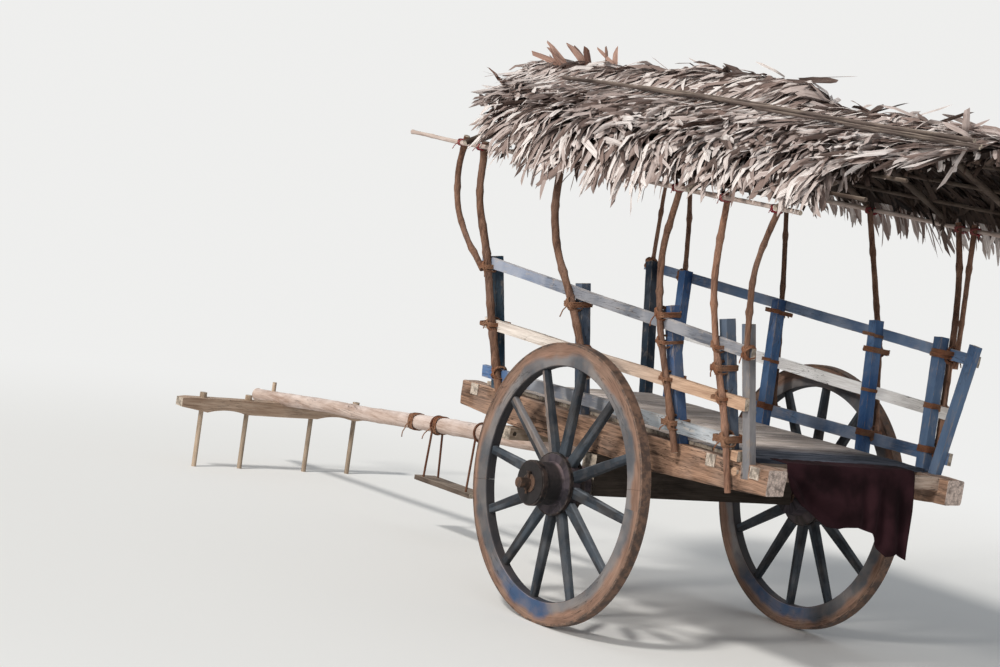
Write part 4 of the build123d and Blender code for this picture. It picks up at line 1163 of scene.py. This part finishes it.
def tail_cloth():
    """A dark cotton cloth thrown over the rear bar: tucked at the top, gathered to its left corner."""
    low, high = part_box("tail_cloth")
    bm = grid(*CLOTH_CELLS)
    for vert in bm.verts:
        across, down = vert.co.x + 0.5, 0.5 - vert.co.y
        y = CLOTH_FROM_Y + (CLOTH_TO_Y - CLOTH_FROM_Y) * across
        hang = between(CLOTH_HANG, y)
        drop = down * (CLOTH_LAP + hang) - CLOTH_LAP
        swell = noise.noise(Vector((y * 3.0, drop * 2.2, 4.0)))
        if drop < 0:
            ruck = 0.005 * noise.noise(Vector((y * 14, drop * 9, 1)))
            vert.co = (low.x + CLOTH_INSIDE - drop, y, high.z + CLOTH_OVER + abs(ruck))
            continue
        depth = drop / 0.45
        # Folds fan out from the gathered left corner, and hang straight on the right
        fan = math.atan2(drop + 0.04, CLOTH_FROM_Y + 0.1 - y)
        right = held((0.12 - y) / 0.25)
        diagonal = FAN_DEEP * (math.sin(fan * FAN_FOLDS + swell * 2.5) * (1 - right))
        upright = STRAIGHT_DEEP * (math.sin(y * STRAIGHT_FOLDS + swell * 3.0 + depth) * right)
        fold = (diagonal + upright) * min(depth * 2.2, 1) + SWELL_DEEP * swell * depth
        round_edge = CLOTH_EDGE * (1 - math.exp(-drop / CLOTH_EDGE))
        vert.co = (low.x + CLOTH_INSIDE - round_edge - fold - LEAN_BACK * depth, y + 0.01 * swell * depth,
                   high.z + CLOTH_OVER - drop)
    unwrap(bm, lambda co: (co.y, co.z))
    smooth(bm)
    area = sum(face.calc_area() for face in bm.faces)
    cloth = piece(bm, "tail_cloth_draped", "cloth", "tail_cloth")
    wall = cloth.modifiers.new("wall", "SOLIDIFY")
    wall.thickness = CLOTH_THICK
    wall.offset = 0


X, Y, Z = 0, 1, 2
ROUND, SQUARE = None, 0.045

# Timbers: node ({} stands for left and right), finish, axis, length of a cut, roughness, size of the cuts
# across, bend and knots
TIMBERS = [
    ("beam_{}", "beams", X, 0.05, 0.005, SQUARE),
    ("cross_bars", "cross_bar", Y, 0.05, 0.0025, 0.035),
    ("deck_boards", "deck", Y, 0.06, 0.003, 0.06),
    ("bolster", "bolster", Y, 0.05, 0.002, SQUARE),
    ("axle_bed", "dark_wood", Y, 0.05, 0.002, SQUARE),
    ("pole", "pole", X, 0.05, 0.003, ROUND, 0.006, 0.004),
    ("yoke", "yoke", Y, 0.04, 0.0025, SQUARE),
    ("footboard", "board", X, 0.04, 0.002, 0.03),
    ("packing_block", "bare_wood", X, 0.02, 0.0015, 0.02),
    ("top_rail_left", "top_rail", X, 0.05, 0.0022, 0.02, 0.003),
    ("middle_rail_left", "bare_wood", X, 0.05, 0.0022, 0.02, 0.003),
    ("lower_rail_left", "lower_rail", X, 0.05, 0.0022, 0.02),
    ("top_rail_right", "blue_rails", X, 0.05, 0.0022, 0.02, 0.003),
    ("middle_rail_right", "white_rail", X, 0.05, 0.0022, 0.02, 0.003),
    ("lower_rail_right", "blue_rails", X, 0.05, 0.0022, 0.02),
    ("stakes_left", "left_stakes", Z, 0.045, 0.0022, 0.02),
    ("stakes_right", "right_stakes", Z, 0.045, 0.0022, 0.02),
    ("roof_sticks_{}", "bark_up", Z, 0.02, 0.0028, ROUND, 0.007, 0.006),
    ("eave_pole_{}", "pale_pole", X, 0.03, 0.002, ROUND, 0.008, 0.004),
    ("ridge_pole", "bark_long", X, 0.04, 0.002, ROUND, 0.006, 0.004),
    ("rafters_{}", "bark_across", Y, 0.03, 0.002, ROUND, 0.005, 0.004),
    ("laths_{}", "bark_long", X, 0.05, 0.0012, ROUND, 0.004, 0.002),
    ("thatch_batten_{}", "batten", X, 0.03, 0.0016, ROUND, 0.01, 0.003),
]

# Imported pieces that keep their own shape: node and finish
PLAIN = [("axle", "axle_iron"), ("axle_washers", "axle_iron"), ("linchpins", "axle_iron"),
         ("beam_peg", "bare_wood"), ("yoke_pegs", "pegs"), ("yoke_pin", "pegs"),
         ("footboard_slings", "coir"),
         ("tyre_{}", "tyre_iron"), ("felloes_{}", "felloes"), ("spokes_{}", "spokes"), ("nave_{}", "nave"),
         ("nave_bands_{}", "iron"), ("axle_box_{}", "iron")]


def each_side(rows):
    """The rows of a table, with one row for each side where the name has room for it."""
    return [(row[0].format(side), *row[1:]) for row in rows for side in (SIDES if "{}" in row[0] else [""])]


camera()
floor()
light()
for node, name in each_side(PLAIN):
    dress(node, name)
WORN = {row[0]: weathered(seed, *row) for seed, row in enumerate(each_side(TIMBERS))}
rack_lashings()
eave_ties()
pole_ropes()
tail_cloth()
for side_name, seed in (("left", 11), ("right", 31)):
    bend_batten(side_name, SIDES[side_name])
    thatch(side_name, SIDES[side_name], seed)
loose_pieces()
double_battens()

bpy.context.scene.view_settings.view_transform = "Standard"
